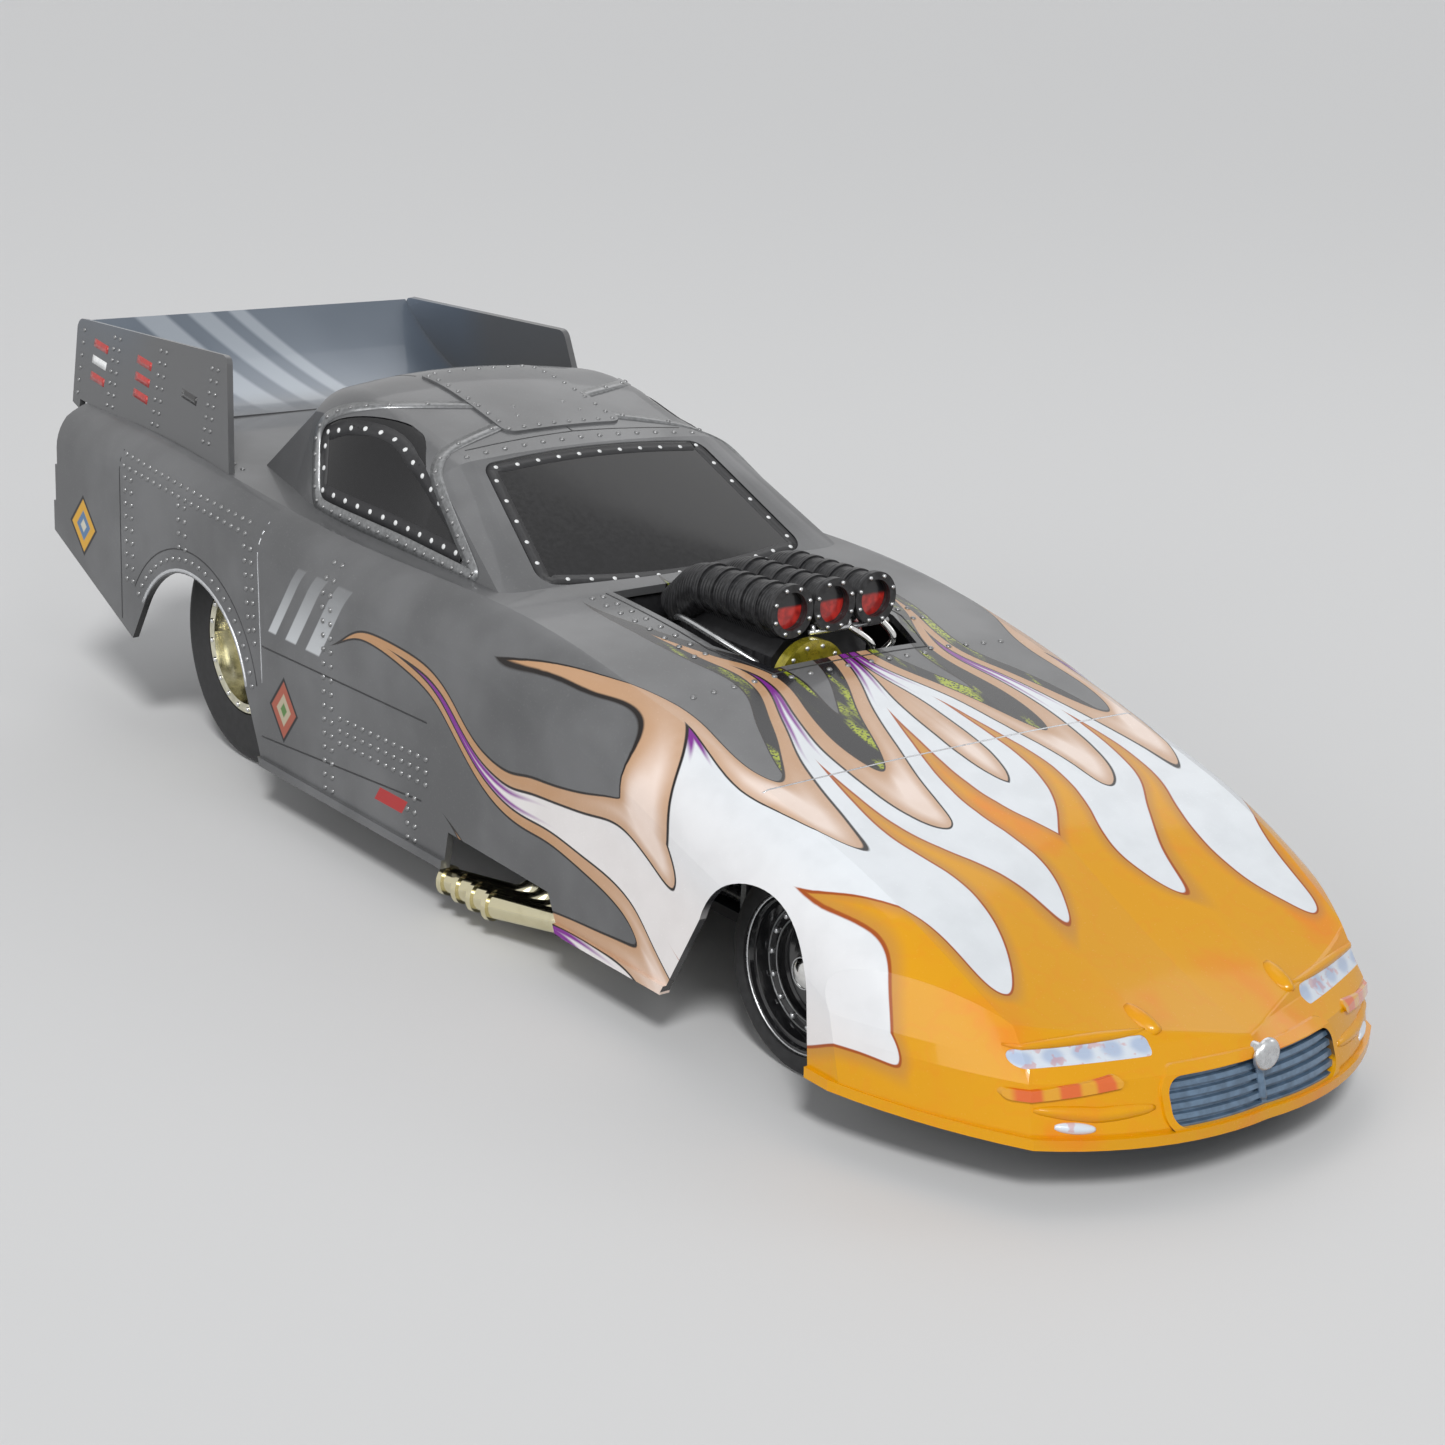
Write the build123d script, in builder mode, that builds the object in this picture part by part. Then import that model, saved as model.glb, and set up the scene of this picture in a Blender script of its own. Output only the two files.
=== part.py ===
"""Model of a flip-top drag racing car at 1:24, in millimetres.

The nose points along -Y, +Z is up and +X is the car's left side. Heights are drawn from the
body's datum plane, and every finished piece is lifted by the ride height, so that the floor is
at zero and the origin lies midway between the axles on the centre plane. The body shell is
hinged at the tail, the front wheels turn on their spindles and the rear wheels turn with
their shaft.
"""
from build123d import *
from math import asin, cos, radians, sin
import os

# Stance and wheels
ride_height = 6.0
wheelbase = 132.0
front_axle_y = -wheelbase / 2
rear_axle_y = wheelbase / 2
front_tyre_radius = 13.0
front_tyre_width = 5.6
front_wheel_outer_x = 28.8
front_rim_radius = 10.2
front_tyre_shoulder = 1.6
rear_tyre_shoulder = 2.2
front_hub_radius = 3.0
front_axle_z = front_tyre_radius - ride_height
rear_tyre_radius = 18.6
rear_tyre_width = 16.0
rear_wheel_outer_x = 29.0
rear_rim_radius = 10.8
rear_hub_radius = 3.4
rear_axle_z = rear_tyre_radius - ride_height
rear_windows = 5
window_half_size = (1.5, 1.9)
rim_recess = 0.4
hub_recess = 1.3
running_clearance = 0.05
spindle_radius = 1.2
shaft_radius = 1.6

# Body shell
wall = 1.1
body_half_width = 38.3
sill_z = 1.3
side_lean = 0.4
inner_crease_x = 11.6
lip_height = 1.3
lip_out = 0.55
trim_rise = 0.45
nose_edge_radius = 0.8
hood_edge_reach = 1.2
tail_y = 111.4
tail_step_y = 110.7
tail_upper_y = 110.0
bumper_top_z = 26.5
tail_step_z = 32.6
tail_round = 3.0
tail_top_z = 43.4
cut_margin = 6.0
cut_half_width = 45.0

# Lower body sections, one row per station:
# y, z where the side turns into the shoulder, x and z of the fender crease,
# z of the inner crease, z on the centre line
LOWER_SECTIONS = (
    (-119.0, 1.1, 26.0, 6.8, 7.6, 7.5),
    (-108.0, 1.7, 27.4, 10.7, 11.4, 11.2),
    (-97.0, 3.1, 29.0, 15.9, 15.7, 15.2),
    (-84.0, 10.3, 30.2, 22.2, 21.9, 21.4),
    (-70.0, 16.5, 30.6, 26.7, 27.4, 27.6),
    (-52.0, 21.8, 31.0, 31.2, 32.3, 32.6),
    (-36.0, 26.5, 31.7, 34.7, 36.1, 36.4),
    (-16.0, 29.8, 32.0, 37.7, 38.1, 38.2),
    (10.0, 30.6, 32.4, 38.3, 39.1, 39.3),
    (46.0, 32.6, 33.0, 39.2, 40.2, 40.4),
    (66.0, 35.5, 33.6, 41.1, 41.5, 41.6),
    (90.0, 36.3, 33.6, 42.5, 42.7, 42.8),
    (116.0, 37.1, 33.6, 43.2, 43.4, 43.5),
)

# Cabin sections, one row per station:
# y, half width at the belt, x and z of the top of the side, x and z of the roof edge,
# z on the centre line
cabin_foot_z = 31.0
CABIN_SECTIONS = (
    (-10.5, 31.5, 31.2, 34.3, 27.5, 34.6, 34.8),
    (18.6, 31.5, 25.6, 48.9, 20.2, 50.9, 51.7),
    (33.3, 31.4, 25.6, 51.1, 20.2, 53.8, 54.9),
    (49.3, 31.0, 25.3, 52.0, 19.8, 55.4, 56.7),
    (53.3, 30.6, 24.4, 51.4, 18.8, 54.7, 56.2),
    (70.5, 29.0, 27.0, 35.6, 24.0, 36.2, 36.4),
)
header_row = 1
roof_rear_row = 4

# Nose plan, one row per level:
# z, y at the centre, x and y midway, x and y of the corner, x and y on the corner's arc
NOSE_LEVELS = (
    (-2.0, -114.6, 16.0, -112.7, 28.8, -106.0, 34.4, -95.0),
    (3.0, -114.4, 16.0, -112.5, 28.8, -105.8, 34.4, -95.0),
    (8.4, -112.6, 13.4, -111.0, 28.6, -104.6, 34.4, -94.0),
    (10.6, -110.9, 13.0, -107.6, 28.2, -103.3, 34.4, -93.0),
    (18.0, -103.6, 15.0, -101.6, 28.0, -98.0, 34.6, -88.0),
)
nose_side_x = 40.0
nose_side_y = -72.0
plan_top_z = 60.0

# Openings in the shell, as (y, z) or (x, y) points
front_arch_foot_y = (-52.0, -79.0)
front_arch_arc = ((-58.3, 13.3), (-68.2, 20.7), (-78.2, 11.2))
rear_arch_foot_y = 44.6
rear_arch_arc = ((49.6, 12.0), (65.8, 24.8), (80.8, 16.7))
rear_arch_end = (84.8, 10.2)
tail_underside = ((84.8, 10.2), (112.4, 22.0))
arch_leg_z = 1.6
hood_opening = ((12.4, -38.9), (15.6, -30.5), (15.6, -8.9))
exhaust_cut = ((-31.0, -0.4), (-27.6, 6.2), (-4.6, 6.8), (-3.4, -0.4))
windshield_foot = ((23.2, -2.9), (0.0, -5.5))
windshield_head = ((19.2, 17.7), (0.0, 18.2))
window_corner = 2.4
side_window_foot = ((45.0, 40.3), (3.8, 39.2))
side_window_top = ((26.0, 51.4), (39.0, 53.5), (49.3, 49.7))
side_window_depth_x = 21.4
glass_thickness = 0.8
glass_recess = 0.15
tail_opening_half_width = 11.4
tail_opening_z = (23.4, 35.4)
tail_opening_corner = 1.5

# Lamps and grille, in front view
headlight_x = 21.2
headlight_z = 10.7
headlight_length = 16.4
headlight_height = 1.8
marker_x = 24.8
marker_z = 7.7
marker_length = 11.6
marker_height = 1.2
marker_tilt = 7.0
lamp_depth_y = -100.0
lamp_reach = 20.0
lamp_recess = 0.1
grille_half_width = 14.0
grille_bottom_z = 2.8
grille_top_z = 8.3
grille_corner = 2.0
grille_rim = 0.9
grille_fins = 5
grille_back_recess = 0.7
grille_post = 0.8
knob_z = 8.7
knob_radius = 2.0
knob_stem_radius = 0.9
knob_foot_y = -109.0
knob_face_y = -114.4
knob_thickness = 0.9

# Wing and roof hatch
plate_thickness = 1.0
plate_foot_x = 33.0
plate_foot_z = 41.6
plate_lean = 8.0
plate_corner = 1.6
# Outline of an end plate as (y, height above its foot)
plate_outline = ((61.8, -3.6), (67.6, 16.0), (115.4, 13.6), (113.9, 0.2), (110.0, -0.9), (104.0, -3.6))
blade_thickness = 1.15
blade_points = ((89.5, 42.9), (104.2, 46.2), (115.3, 54.6))
hatch_half_width = 10.3
hatch_y = (24.4, 48.3)
hatch_rise = 0.35
hatch_corner = 2.0

# Chassis
rail_radius = 1.1
rail_x = 10.0
pan_z = -0.6
pan_thickness = 1.4
pan_top_z = pan_z + pan_thickness
pan_half_width = 12.5
pan_front_y = -60.0
pan_rear_y = 44.0
pan_corner = 1.0
tub_half_width = 17.0
tub_y = (-6.0, 38.0)
screw_hole_radius = 1.25
screw_boss_radius = 2.8
screw_boss_height = 3.0
screw_y = (-53.5, 40.5)
rail_z = pan_top_z + rail_radius
upper_front = (8.0, -90.0, 14.4)
upper_dash = (11.0, -8.0, 15.8)
upper_hoop = (11.0, 36.0, 22.0)
upper_rear = (10.0, 58.0, 22.6)
axle_upright_y = 58.0
hinge_y = 103.0
hinge_z = 21.0
hinge_pin_radius = 1.2
hinge_pin_half_length = 14.5
hinge_eye_radius = 2.4
hinge_eye_x = 9.0
hinge_eye_width = 3.0
bracket_x = 12.2
bracket_thickness = 1.4
axle_radius = 1.3
axle_plate_thickness = 1.4
axle_plate_length = 4.4
knuckle_radius = 1.8
knuckle_height = 5.0
knuckle_gap = 0.4
spindle_nut_radius = 2.0
housing_radius = 2.5
housing_half_length = 15.0
differential_radius = 5.6
differential_length = 8.4
housing_plate_height = 8.0
housing_plate_thickness = 1.8

# Chassis tubes on the left side, mirrored to the right: start and end as (x, y, z)
RAIL_TUBES = (
    ((rail_x, -92.0, rail_z), (rail_x, axle_upright_y, rail_z)),
    ((rail_x, -92.0, rail_z), (8.0, -95.0, 8.0)),
    ((8.0, -95.0, 8.0), upper_front),
    (upper_front, upper_dash),
    (upper_dash, upper_hoop),
    (upper_hoop, upper_rear),
    (upper_rear, (hinge_eye_x, hinge_y - hinge_eye_radius - 0.4, hinge_z)),
    ((rail_x, -78.0, rail_z), (8.4, -78.0, 14.5)),
    ((rail_x, -48.0, rail_z), (9.5, -48.0, 15.1)),
    ((rail_x, 36.0, rail_z), upper_hoop),
    ((rail_x, axle_upright_y, rail_z), upper_rear),
)
# Cross tubes from side to side: half length, y, z
CROSS_TUBES = (
    (rail_x, -92.0, rail_z),
    (upper_front[0], upper_front[1], upper_front[2]),
    (rail_x, -48.0, rail_z),
    (rail_x, 36.0, rail_z),
    (rail_x, axle_upright_y, rail_z),
    (upper_rear[0], upper_rear[1], upper_rear[2]),
    (9.0, 98.0, 21.1),
)
cage_shoulder = (9.5, 35.0, 46.0)
cage_top = (5.5, 35.0, 50.5)
cage_dash = (7.0, 16.0, 43.5)
CAGE_TUBES = (
    ((upper_hoop[0], upper_hoop[1], upper_hoop[2] + rail_radius), cage_shoulder),
    (cage_shoulder, cage_top),
    (cage_top, cage_dash),
    (cage_dash, (10.5, -3.0, upper_dash[2] + 0.2 + rail_radius)),
    (cage_shoulder, (10.3, 55.0, upper_rear[2] + rail_radius)),
)

# Engine
engine_front_y = -35.5
engine_rear_y = -10.5
crank_half_width = 6.0
crank_bottom_z = 4.0
bank_foot = (7.4, 16.3)
bank_outer = (14.6, 19.3)
bank_inner = (10.8, 23.1)
valley = (5.0, 20.7)
motor_plate_half_width = 11.5
motor_plate_top_z = 15.0
motor_plate_thickness = 1.0
valve_cover_height = 2.6
valve_cover_inset = 0.4
valve_cover_taper = 0.6
valve_cover_end_gap = 0.8
manifold_top_z = 26.7
manifold_half_width = 5.4
blower_half_width = 8.2
blower_top_z = 36.9
blower_y = (-33.6, -11.6)
blower_ribs = 9
blower_rib_pitch = 2.4
blower_rib_width = 0.9
blower_rib_rise = 0.5
guard_crank_z = 11.7
guard_blower_x = -4.0
guard_blower_z = 31.8
guard_crank_radius = 3.4
guard_blower_radius = 5.8
guard_thickness = 1.6
pulley_radius = 3.0
pulley_rise = 0.7
hat_foot = (14.0, 20.0)
hat_top = (18.5, 22.0)
hat_y = (-22.5, -23.5)
hat_top_z = 40.0
barrel_x = 7.2
barrel_front_y = -35.9
barrel_bend_y = -17.4
barrel_front_z = 41.5
barrel_bend_z = 40.7
barrel_tail = (-13.0, 36.6)
barrel_bend_radius = 4.6
barrel_radius = 3.0
barrel_bore = 2.5
barrel_rim_radius = 3.55
barrel_rim_width = 1.0
barrel_ribs = 5
barrel_rib_pitch = 3.0
barrel_rib_start = 3.6
barrel_rib_width = 0.9
barrel_rib_rise = 0.28
barrel_bore_depth = 14.0
butterfly_depth = 1.2
butterfly_thickness = 0.5
pipe_radius = 1.75
pipe_bore = 1.25
pipe_bore_depth = 2.4
pipe_collar_radius = 2.1
pipe_collar_length = 0.8
pipe_bend = 3.4
port = (13.0, 16.9)
pipe_knee = (20.5, 13.1)
pipe_belly = (33.0, 0.2)
pipe_tip = (36.4, -1.0)
# Header pipes of one side: y at the port, at the belly and at the tip
PIPES = (
    (-33.0, -25.4, -12.8),
    (-26.6, -22.6, -9.3),
    (-20.2, -19.8, -5.8),
    (-13.8, -17.0, -2.3),
)
flange_tilt = 38.0
flange_size = (1.0, 4.4)
flange_overhang = 2.6
firewall_y = -8.6
firewall_thickness = 1.2
firewall_half = ((16.0, rail_z), (18.0, 20.0), (13.0, 33.0))

# Cockpit, tank and tail gear
seat_half_width = 7.0
seat_outline = ((14.0, pan_top_z), (31.0, pan_top_z), (33.0, 33.0), (29.5, 33.4), (26.5, 12.4), (15.0, 9.6))
seat_corner = 0.8
column_z = 22.0
column_radius = 0.8
column_length = 14.0
column_rake = 0.2
yoke_radius = 4.2
yoke_bar = 1.0
tank_length = 9.0
tank_height = 8.4
tank_y = -84.0
tank_corner = 1.6
side_gap = 0.2
pack_size = (9.4, 14.0, 12.8)
pack_x = 5.6
pack_y = 98.8
pack_seat_z = 22.2
pack_corner = 1.8
wheelie_x = 7.0
wheelie_tube_radius = 0.9
wheelie_cross_radius = 0.7
wheelie_wheel_radius = 2.2
wheelie_wheel_width = 2.0
wheelie_wheel_y = 101.5
wheelie_floor_gap = 2.8
wheelie_cross_y = 97.5

grey = (0.5, 0.51, 0.52)
dark = (0.08, 0.08, 0.09)
metal = (0.75, 0.74, 0.68)
black = (0.1, 0.1, 0.1)

os.makedirs("parts", exist_ok=True)


def arc_middle(start, end):
    """Middle of the arc that leaves start straight up and bends inwards to end."""
    inwards = start[0] - end[0]
    rise = end[1] - start[1]
    radius = (inwards ** 2 + rise ** 2) / (2 * inwards)
    turn = asin(min(1.0, rise / radius))
    return (start[0] - radius + radius * cos(turn / 2), start[1] + radius * sin(turn / 2))


def lower_section(row, inset):
    """Lower body section at one station, drawn in by the inset."""
    y, z_side, x_crease, z_crease, z_inner, z_centre = row
    foot_z = sill_z if inset <= 0 else pan_z - cut_margin
    side = (body_half_width - inset, z_side)
    crease = (x_crease - inset / 2, z_crease - inset)
    with BuildSketch(Plane.XZ.offset(-y)) as profile:
        with BuildLine():
            Polyline((0, foot_z), (side[0] - side_lean, foot_z), side)
            ThreePointArc(side, arc_middle(side, crease), crease)
            Polyline(crease, (inner_crease_x, z_inner - inset), (0, z_centre - inset))
            mirror(about=Plane.YZ)
        make_face()
    return profile.sketch


def cabin_section(row, inset):
    """Cabin section at one station, drawn in by the inset."""
    y, x_belt, x_side, z_side, x_roof, z_roof, z_centre = row
    foot_z = cabin_foot_z - inset
    side = (x_side - inset, z_side - inset / 3)
    roof = (x_roof - inset / 2, z_roof - inset)
    top_z = z_centre - inset
    bulge = (z_roof - z_side) * 0.16
    middle = ((side[0] + roof[0]) / 2 + bulge, (side[1] + roof[1]) / 2 + bulge)
    with BuildSketch(Plane.XZ.offset(-y)) as profile:
        with BuildLine():
            Polyline((0, foot_z), (x_belt - inset, foot_z), side)
            ThreePointArc(side, middle, roof)
            ThreePointArc(roof, (roof[0] / 2, top_z - (top_z - roof[1]) / 4), (0, top_z))
            mirror(about=Plane.YZ)
        make_face()
    return profile.sketch


def nose_level(level, inset):
    """Plan outline of the whole body at one level, rounded round the nose."""
    z, y_centre, x_mid, y_mid, x_corner, y_corner, x_arc, y_arc = level
    corner = (x_corner - inset / 4, y_corner + inset)
    tail = tail_y if inset <= 0 else tail_upper_y - inset
    with BuildSketch(Plane.XY.offset(z)) as outline:
        with BuildLine():
            ThreePointArc((0, y_centre + inset), (x_mid, y_mid + inset), corner)
            ThreePointArc(corner, (x_arc - inset / 2, y_arc + inset / 2), (nose_side_x, nose_side_y))
            Polyline((nose_side_x, nose_side_y), (nose_side_x, tail), (0, tail))
            mirror(about=Plane.YZ)
        make_face()
    return outline.sketch


def lower_solid(inset):
    """Lower body, upright at the nose below the grille and raked back above it."""
    levels = [nose_level(level, inset) for level in NOSE_LEVELS]
    levels.append(nose_level((plan_top_z,) + NOSE_LEVELS[-1][1:], inset))
    sections = [lower_section(row, inset) for row in LOWER_SECTIONS]
    with BuildPart() as plan:
        for low, high in zip(levels, levels[1:]):
            loft([low, high], ruled=True)
    with BuildPart() as solid:
        loft(sections)
        add(plan.part, mode=Mode.INTERSECT)
    return solid.part


def cabin_solid(inset):
    """Windscreen, roof and backlight stretches of the cabin."""
    sections = [cabin_section(row, inset) for row in CABIN_SECTIONS]
    with BuildPart() as solid:
        loft(sections[:header_row + 1], ruled=True)
        loft(sections[header_row:roof_rear_row + 1])
        loft(sections[roof_rear_row:], ruled=True)
    return solid.part


def profile_prism(plane, outline, depth):
    """Prism of a closed outline of points drawn on a plane."""
    with BuildPart() as prism:
        with BuildSketch(plane):
            with BuildLine():
                Polyline(*outline, close=True)
            make_face()
        extrude(amount=depth)
    return prism.part


def across(outline):
    """Prism of a (y, z) outline right across the car."""
    return profile_prism(Plane.YZ.offset(-cut_half_width), outline, 2 * cut_half_width)


def upwards(outline, z_from, z_to):
    """Prism of an (x, y) outline and its mirror image from one z to another."""
    mirrored = [(-x, y) for x, y in reversed(outline)]
    return profile_prism(Plane.XY.offset(z_from), list(outline) + mirrored, z_to - z_from)


def finish(shape, name, colour):
    """Lift a finished piece by the ride height, name it and write it."""
    piece = shape.moved(Location((0, 0, ride_height)))
    piece.label = name
    piece.color = Color(*colour)
    export_step(piece, f"parts/{name}.step")


def largest(shape):
    """The largest solid of a shape that a cut has divided."""
    return Part(shape.solids().sort_by(SortBy.VOLUME)[-1].wrapped)


def arch_prism(foot_y, arc, end):
    """Wheel arch across the car: straight legs and one arc."""
    below_z = pan_z - cut_margin
    with BuildPart() as prism:
        with BuildSketch(Plane.YZ.offset(-cut_half_width)):
            with BuildLine():
                Polyline((end[0], below_z), (foot_y, below_z), (foot_y, arch_leg_z), arc[0])
                ThreePointArc(*arc)
                Polyline(arc[2], end, (end[0], below_z))
            make_face()
        extrude(amount=2 * cut_half_width)
    return prism.part


def front_slots(x, z, length, height, tilt):
    """Prisms through the nose for a slot and its mirror image, drawn in front view."""
    with BuildPart() as prisms:
        with BuildSketch(Plane.XZ.offset(-lamp_depth_y)):
            for side in (1, -1):
                with Locations(Location((side * x, z), -side * tilt)):
                    SlotOverall(length, height)
        extrude(amount=lamp_reach)
    return prisms.part


def grille_prism(margin):
    """Prism through the nose of the grille's outline, larger by the margin."""
    with BuildPart() as prism:
        with BuildSketch(Plane.XZ.offset(-lamp_depth_y)):
            with Locations((0, (grille_bottom_z + grille_top_z) / 2)):
                width = 2 * (grille_half_width + margin)
                height = grille_top_z - grille_bottom_z + 2 * margin
                RectangleRounded(width, height, grille_corner + margin)
        extrude(amount=lamp_reach)
    return prism.part


# Solids and prisms that the shell and what sits in it share
lower_outer = lower_solid(0)
lower_inner = lower_solid(wall)
lower_raised = lower_solid(-trim_rise)
cabin_outer = cabin_solid(0)
cabin_inner = cabin_solid(wall)
headlight_hole = front_slots(headlight_x, headlight_z, headlight_length, headlight_height, 0)
grille_hole = grille_prism(0)
front_arch = arch_prism(front_arch_foot_y[0], front_arch_arc, (front_arch_foot_y[1], arch_leg_z))
rear_arch = arch_prism(rear_arch_foot_y, rear_arch_arc, rear_arch_end)
below = pan_z - cut_margin
underside = across(tail_underside + ((tail_y + cut_margin, below), (tail_underside[0][0], below)))
exhaust = across(((exhaust_cut[0][0], below),) + exhaust_cut + ((exhaust_cut[3][0], below),))
tail_steps = across(((tail_step_y, bumper_top_z), (tail_y + cut_margin, bumper_top_z),
                     (tail_y + cut_margin, plan_top_z), (tail_upper_y - tail_round, plan_top_z),
                     (tail_upper_y - tail_round, tail_top_z + 1.0),
                     (tail_upper_y - tail_round / 3, tail_top_z - tail_round / 3),
                     (tail_upper_y, tail_top_z - tail_round), (tail_upper_y, tail_step_z),
                     (tail_step_y, tail_step_z)))
hood_hole = upwards(hood_opening, cabin_foot_z, plan_top_z)
with BuildPart() as windshield_hole:
    with BuildSketch(Plane.XY.offset(cabin_foot_z + 4)):
        with BuildLine():
            foot_left, foot_middle = windshield_foot
            head_left, head_middle = windshield_head
            foot = ThreePointArc((-foot_left[0], foot_left[1]), foot_middle, foot_left)
            head = ThreePointArc(head_left, head_middle, (-head_left[0], head_left[1]))
            Line(foot @ 1, head @ 0)
            Line(head @ 1, foot @ 0)
        make_face()
        fillet(vertices(), window_corner)
    extrude(amount=25.0)
with BuildPart() as side_window_hole:
    with BuildSketch(Plane.YZ.offset(side_window_depth_x)):
        with BuildLine():
            Polyline(side_window_top[2], *side_window_foot, side_window_top[0])
            ThreePointArc(*side_window_top)
        make_face()
        fillet(vertices().sort_by(Axis.Y)[:2], window_corner / 2)
        fillet(vertices().sort_by(Axis.X)[-1:], window_corner)
    extrude(amount=20.0)
    mirror(about=Plane.YZ)
with BuildPart() as tail_opening:
    with BuildSketch(Plane.XZ.offset(-tail_y - cut_margin)):
        with Locations((0, sum(tail_opening_z) / 2)):
            RectangleRounded(2 * tail_opening_half_width, tail_opening_z[1] - tail_opening_z[0],
                             tail_opening_corner)
    extrude(amount=2 * cut_margin)

# Body shell
lip_plan = nose_level((sill_z,) + NOSE_LEVELS[0][1:], -lip_out)
with BuildPart() as lip:
    with BuildSketch(Plane.XY.offset(sill_z)):
        add(lip_plan)
        Rectangle(2 * (body_half_width - side_lean + lip_out), 400, mode=Mode.INTERSECT)
    extrude(amount=lip_height)
    add(lower_inner, mode=Mode.SUBTRACT)
with BuildPart() as rounded_lower:
    add(lower_outer)
    hood_edges = [edge for edge in edges() if edge.center().Y < -98.0
                  and edge.center().Z > grille_top_z + 1.0 and edge.bounding_box().size.X > hood_edge_reach]
    fillet(hood_edges, nose_edge_radius)
raised_rim = (lower_raised - lower_outer) & (grille_prism(grille_rim) - grille_hole)
with BuildPart() as body_shell:
    add(rounded_lower.part)
    add(lip.part)
    add(raised_rim)
    add(cabin_outer)
    add(lower_inner, mode=Mode.SUBTRACT)
    add(cabin_inner, mode=Mode.SUBTRACT)
    for tool in (front_arch, rear_arch, underside, exhaust, tail_steps, hood_hole, tail_opening.part,
                 windshield_hole.part, side_window_hole.part, headlight_hole, grille_hole):
        add(tool, mode=Mode.SUBTRACT)
finish(body_shell.part, "body_shell", grey)

# Glass, lamps and grille share the shell's surfaces
glass_skin = cabin_solid(glass_recess) - cabin_solid(glass_recess + glass_thickness)
with BuildPart() as windshield:
    add(glass_skin)
    add(windshield_hole.part, mode=Mode.INTERSECT)
finish(windshield.part, "windshield", dark)
with BuildPart() as side_glass:
    add(glass_skin)
    add(side_window_hole.part, mode=Mode.INTERSECT)
for name, solid in zip(("side_window_right", "side_window_left"), side_glass.part.solids().sort_by(Axis.X)):
    finish(Part(solid.wrapped), name, dark)

nose_skin = lower_solid(lamp_recess) - lower_inner
with BuildPart() as headlights:
    add(nose_skin)
    add(headlight_hole, mode=Mode.INTERSECT)
for name, solid in zip(("headlight_right", "headlight_left"), headlights.part.solids().sort_by(Axis.X)):
    finish(Part(solid.wrapped), name, (0.8, 0.85, 0.9))
marker_lamps = (lower_raised - lower_outer) & front_slots(marker_x, marker_z, marker_length, marker_height,
                                                          marker_tilt)
finish(marker_lamps, "marker_lamps", (0.8, 0.2, 0.05))

fin_pitch = (grille_top_z - grille_bottom_z) / grille_fins
with BuildPart() as fin_prisms:
    with BuildSketch(Plane.XZ.offset(-lamp_depth_y)):
        for fin in range(grille_fins + 1):
            with Locations((0, grille_bottom_z + fin * fin_pitch)):
                Rectangle(2 * grille_half_width + 2, fin_pitch / 2)
        Rectangle(grille_post, 40)
    extrude(amount=lamp_reach)
with BuildPart() as grille:
    add(nose_skin)
    add(fin_prisms.part, mode=Mode.INTERSECT)
    add(lower_solid(grille_back_recess) - lower_inner)
    add(grille_hole, mode=Mode.INTERSECT)
finish(grille.part, "grille", (0.4, 0.5, 0.6))

with BuildPart() as nose_knob:
    dish_y = knob_face_y + knob_thickness
    with BuildSketch(Plane.YZ):
        with BuildLine():
            Polyline((knob_foot_y, knob_z), (knob_foot_y, knob_z + knob_stem_radius),
                     (dish_y, knob_z + knob_stem_radius), (dish_y, knob_z + knob_radius))
            ThreePointArc((dish_y, knob_z + knob_radius),
                          (knob_face_y + knob_thickness / 5, knob_z + knob_radius * 0.85),
                          (knob_face_y, knob_z + knob_radius * 0.6))
            Polyline((knob_face_y, knob_z + knob_radius * 0.6), (knob_face_y + knob_thickness / 3, knob_z),
                     (knob_foot_y, knob_z))
        make_face()
    revolve(axis=Axis((0, 0, knob_z), (0, 1, 0)))
    add(body_shell.part, mode=Mode.SUBTRACT)
    add(grille.part, mode=Mode.SUBTRACT)
finish(largest(nose_knob.part), "nose_knob", metal)

# Wing and roof hatch stand on the shell
plate_planes = [Plane(origin=(side * plate_foot_x, 0, plate_foot_z), x_dir=(0, 1, 0),
                      z_dir=(cos(radians(plate_lean)), 0, side * sin(radians(plate_lean))))
                for side in (1, -1)]
for name, plane in zip(("left", "right"), plate_planes):
    with BuildPart() as plate:
        with BuildSketch(plane.offset(-plate_thickness / 2)):
            with BuildLine():
                Polyline(*plate_outline, close=True)
            make_face()
            fillet(vertices().sort_by(Axis.Y)[-2:], plate_corner)
        extrude(amount=plate_thickness)
        add(lower_outer, mode=Mode.SUBTRACT)
        add(cabin_outer, mode=Mode.SUBTRACT)
    finish(largest(plate.part), f"spill_plate_{name}", grey)
beside_plates = []
for side, plane in zip((1, -1), plate_planes):
    with BuildPart() as beside:
        with BuildSketch(plane.offset(-side * plate_thickness / 2)):
            with Locations((blade_points[1][0], 0)):
                Rectangle(100, 100)
        extrude(amount=side * 20.0)
    beside_plates.append(beside.part)
with BuildPart() as spoiler_blade:
    with BuildSketch(Plane.YZ.offset(-plate_foot_x)):
        with BuildLine():
            top = ThreePointArc(*blade_points)
            under = ThreePointArc(*[(y, z - blade_thickness) for y, z in blade_points])
            Line(top @ 0, under @ 0)
            Line(top @ 1, under @ 1)
        make_face()
    extrude(amount=2 * plate_foot_x)
    for piece in beside_plates:
        add(piece, mode=Mode.SUBTRACT)
    add(lower_outer, mode=Mode.SUBTRACT)
finish(largest(spoiler_blade.part), "spoiler_blade", grey)
hatch_skin = cabin_solid(-hatch_rise) - cabin_outer
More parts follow.
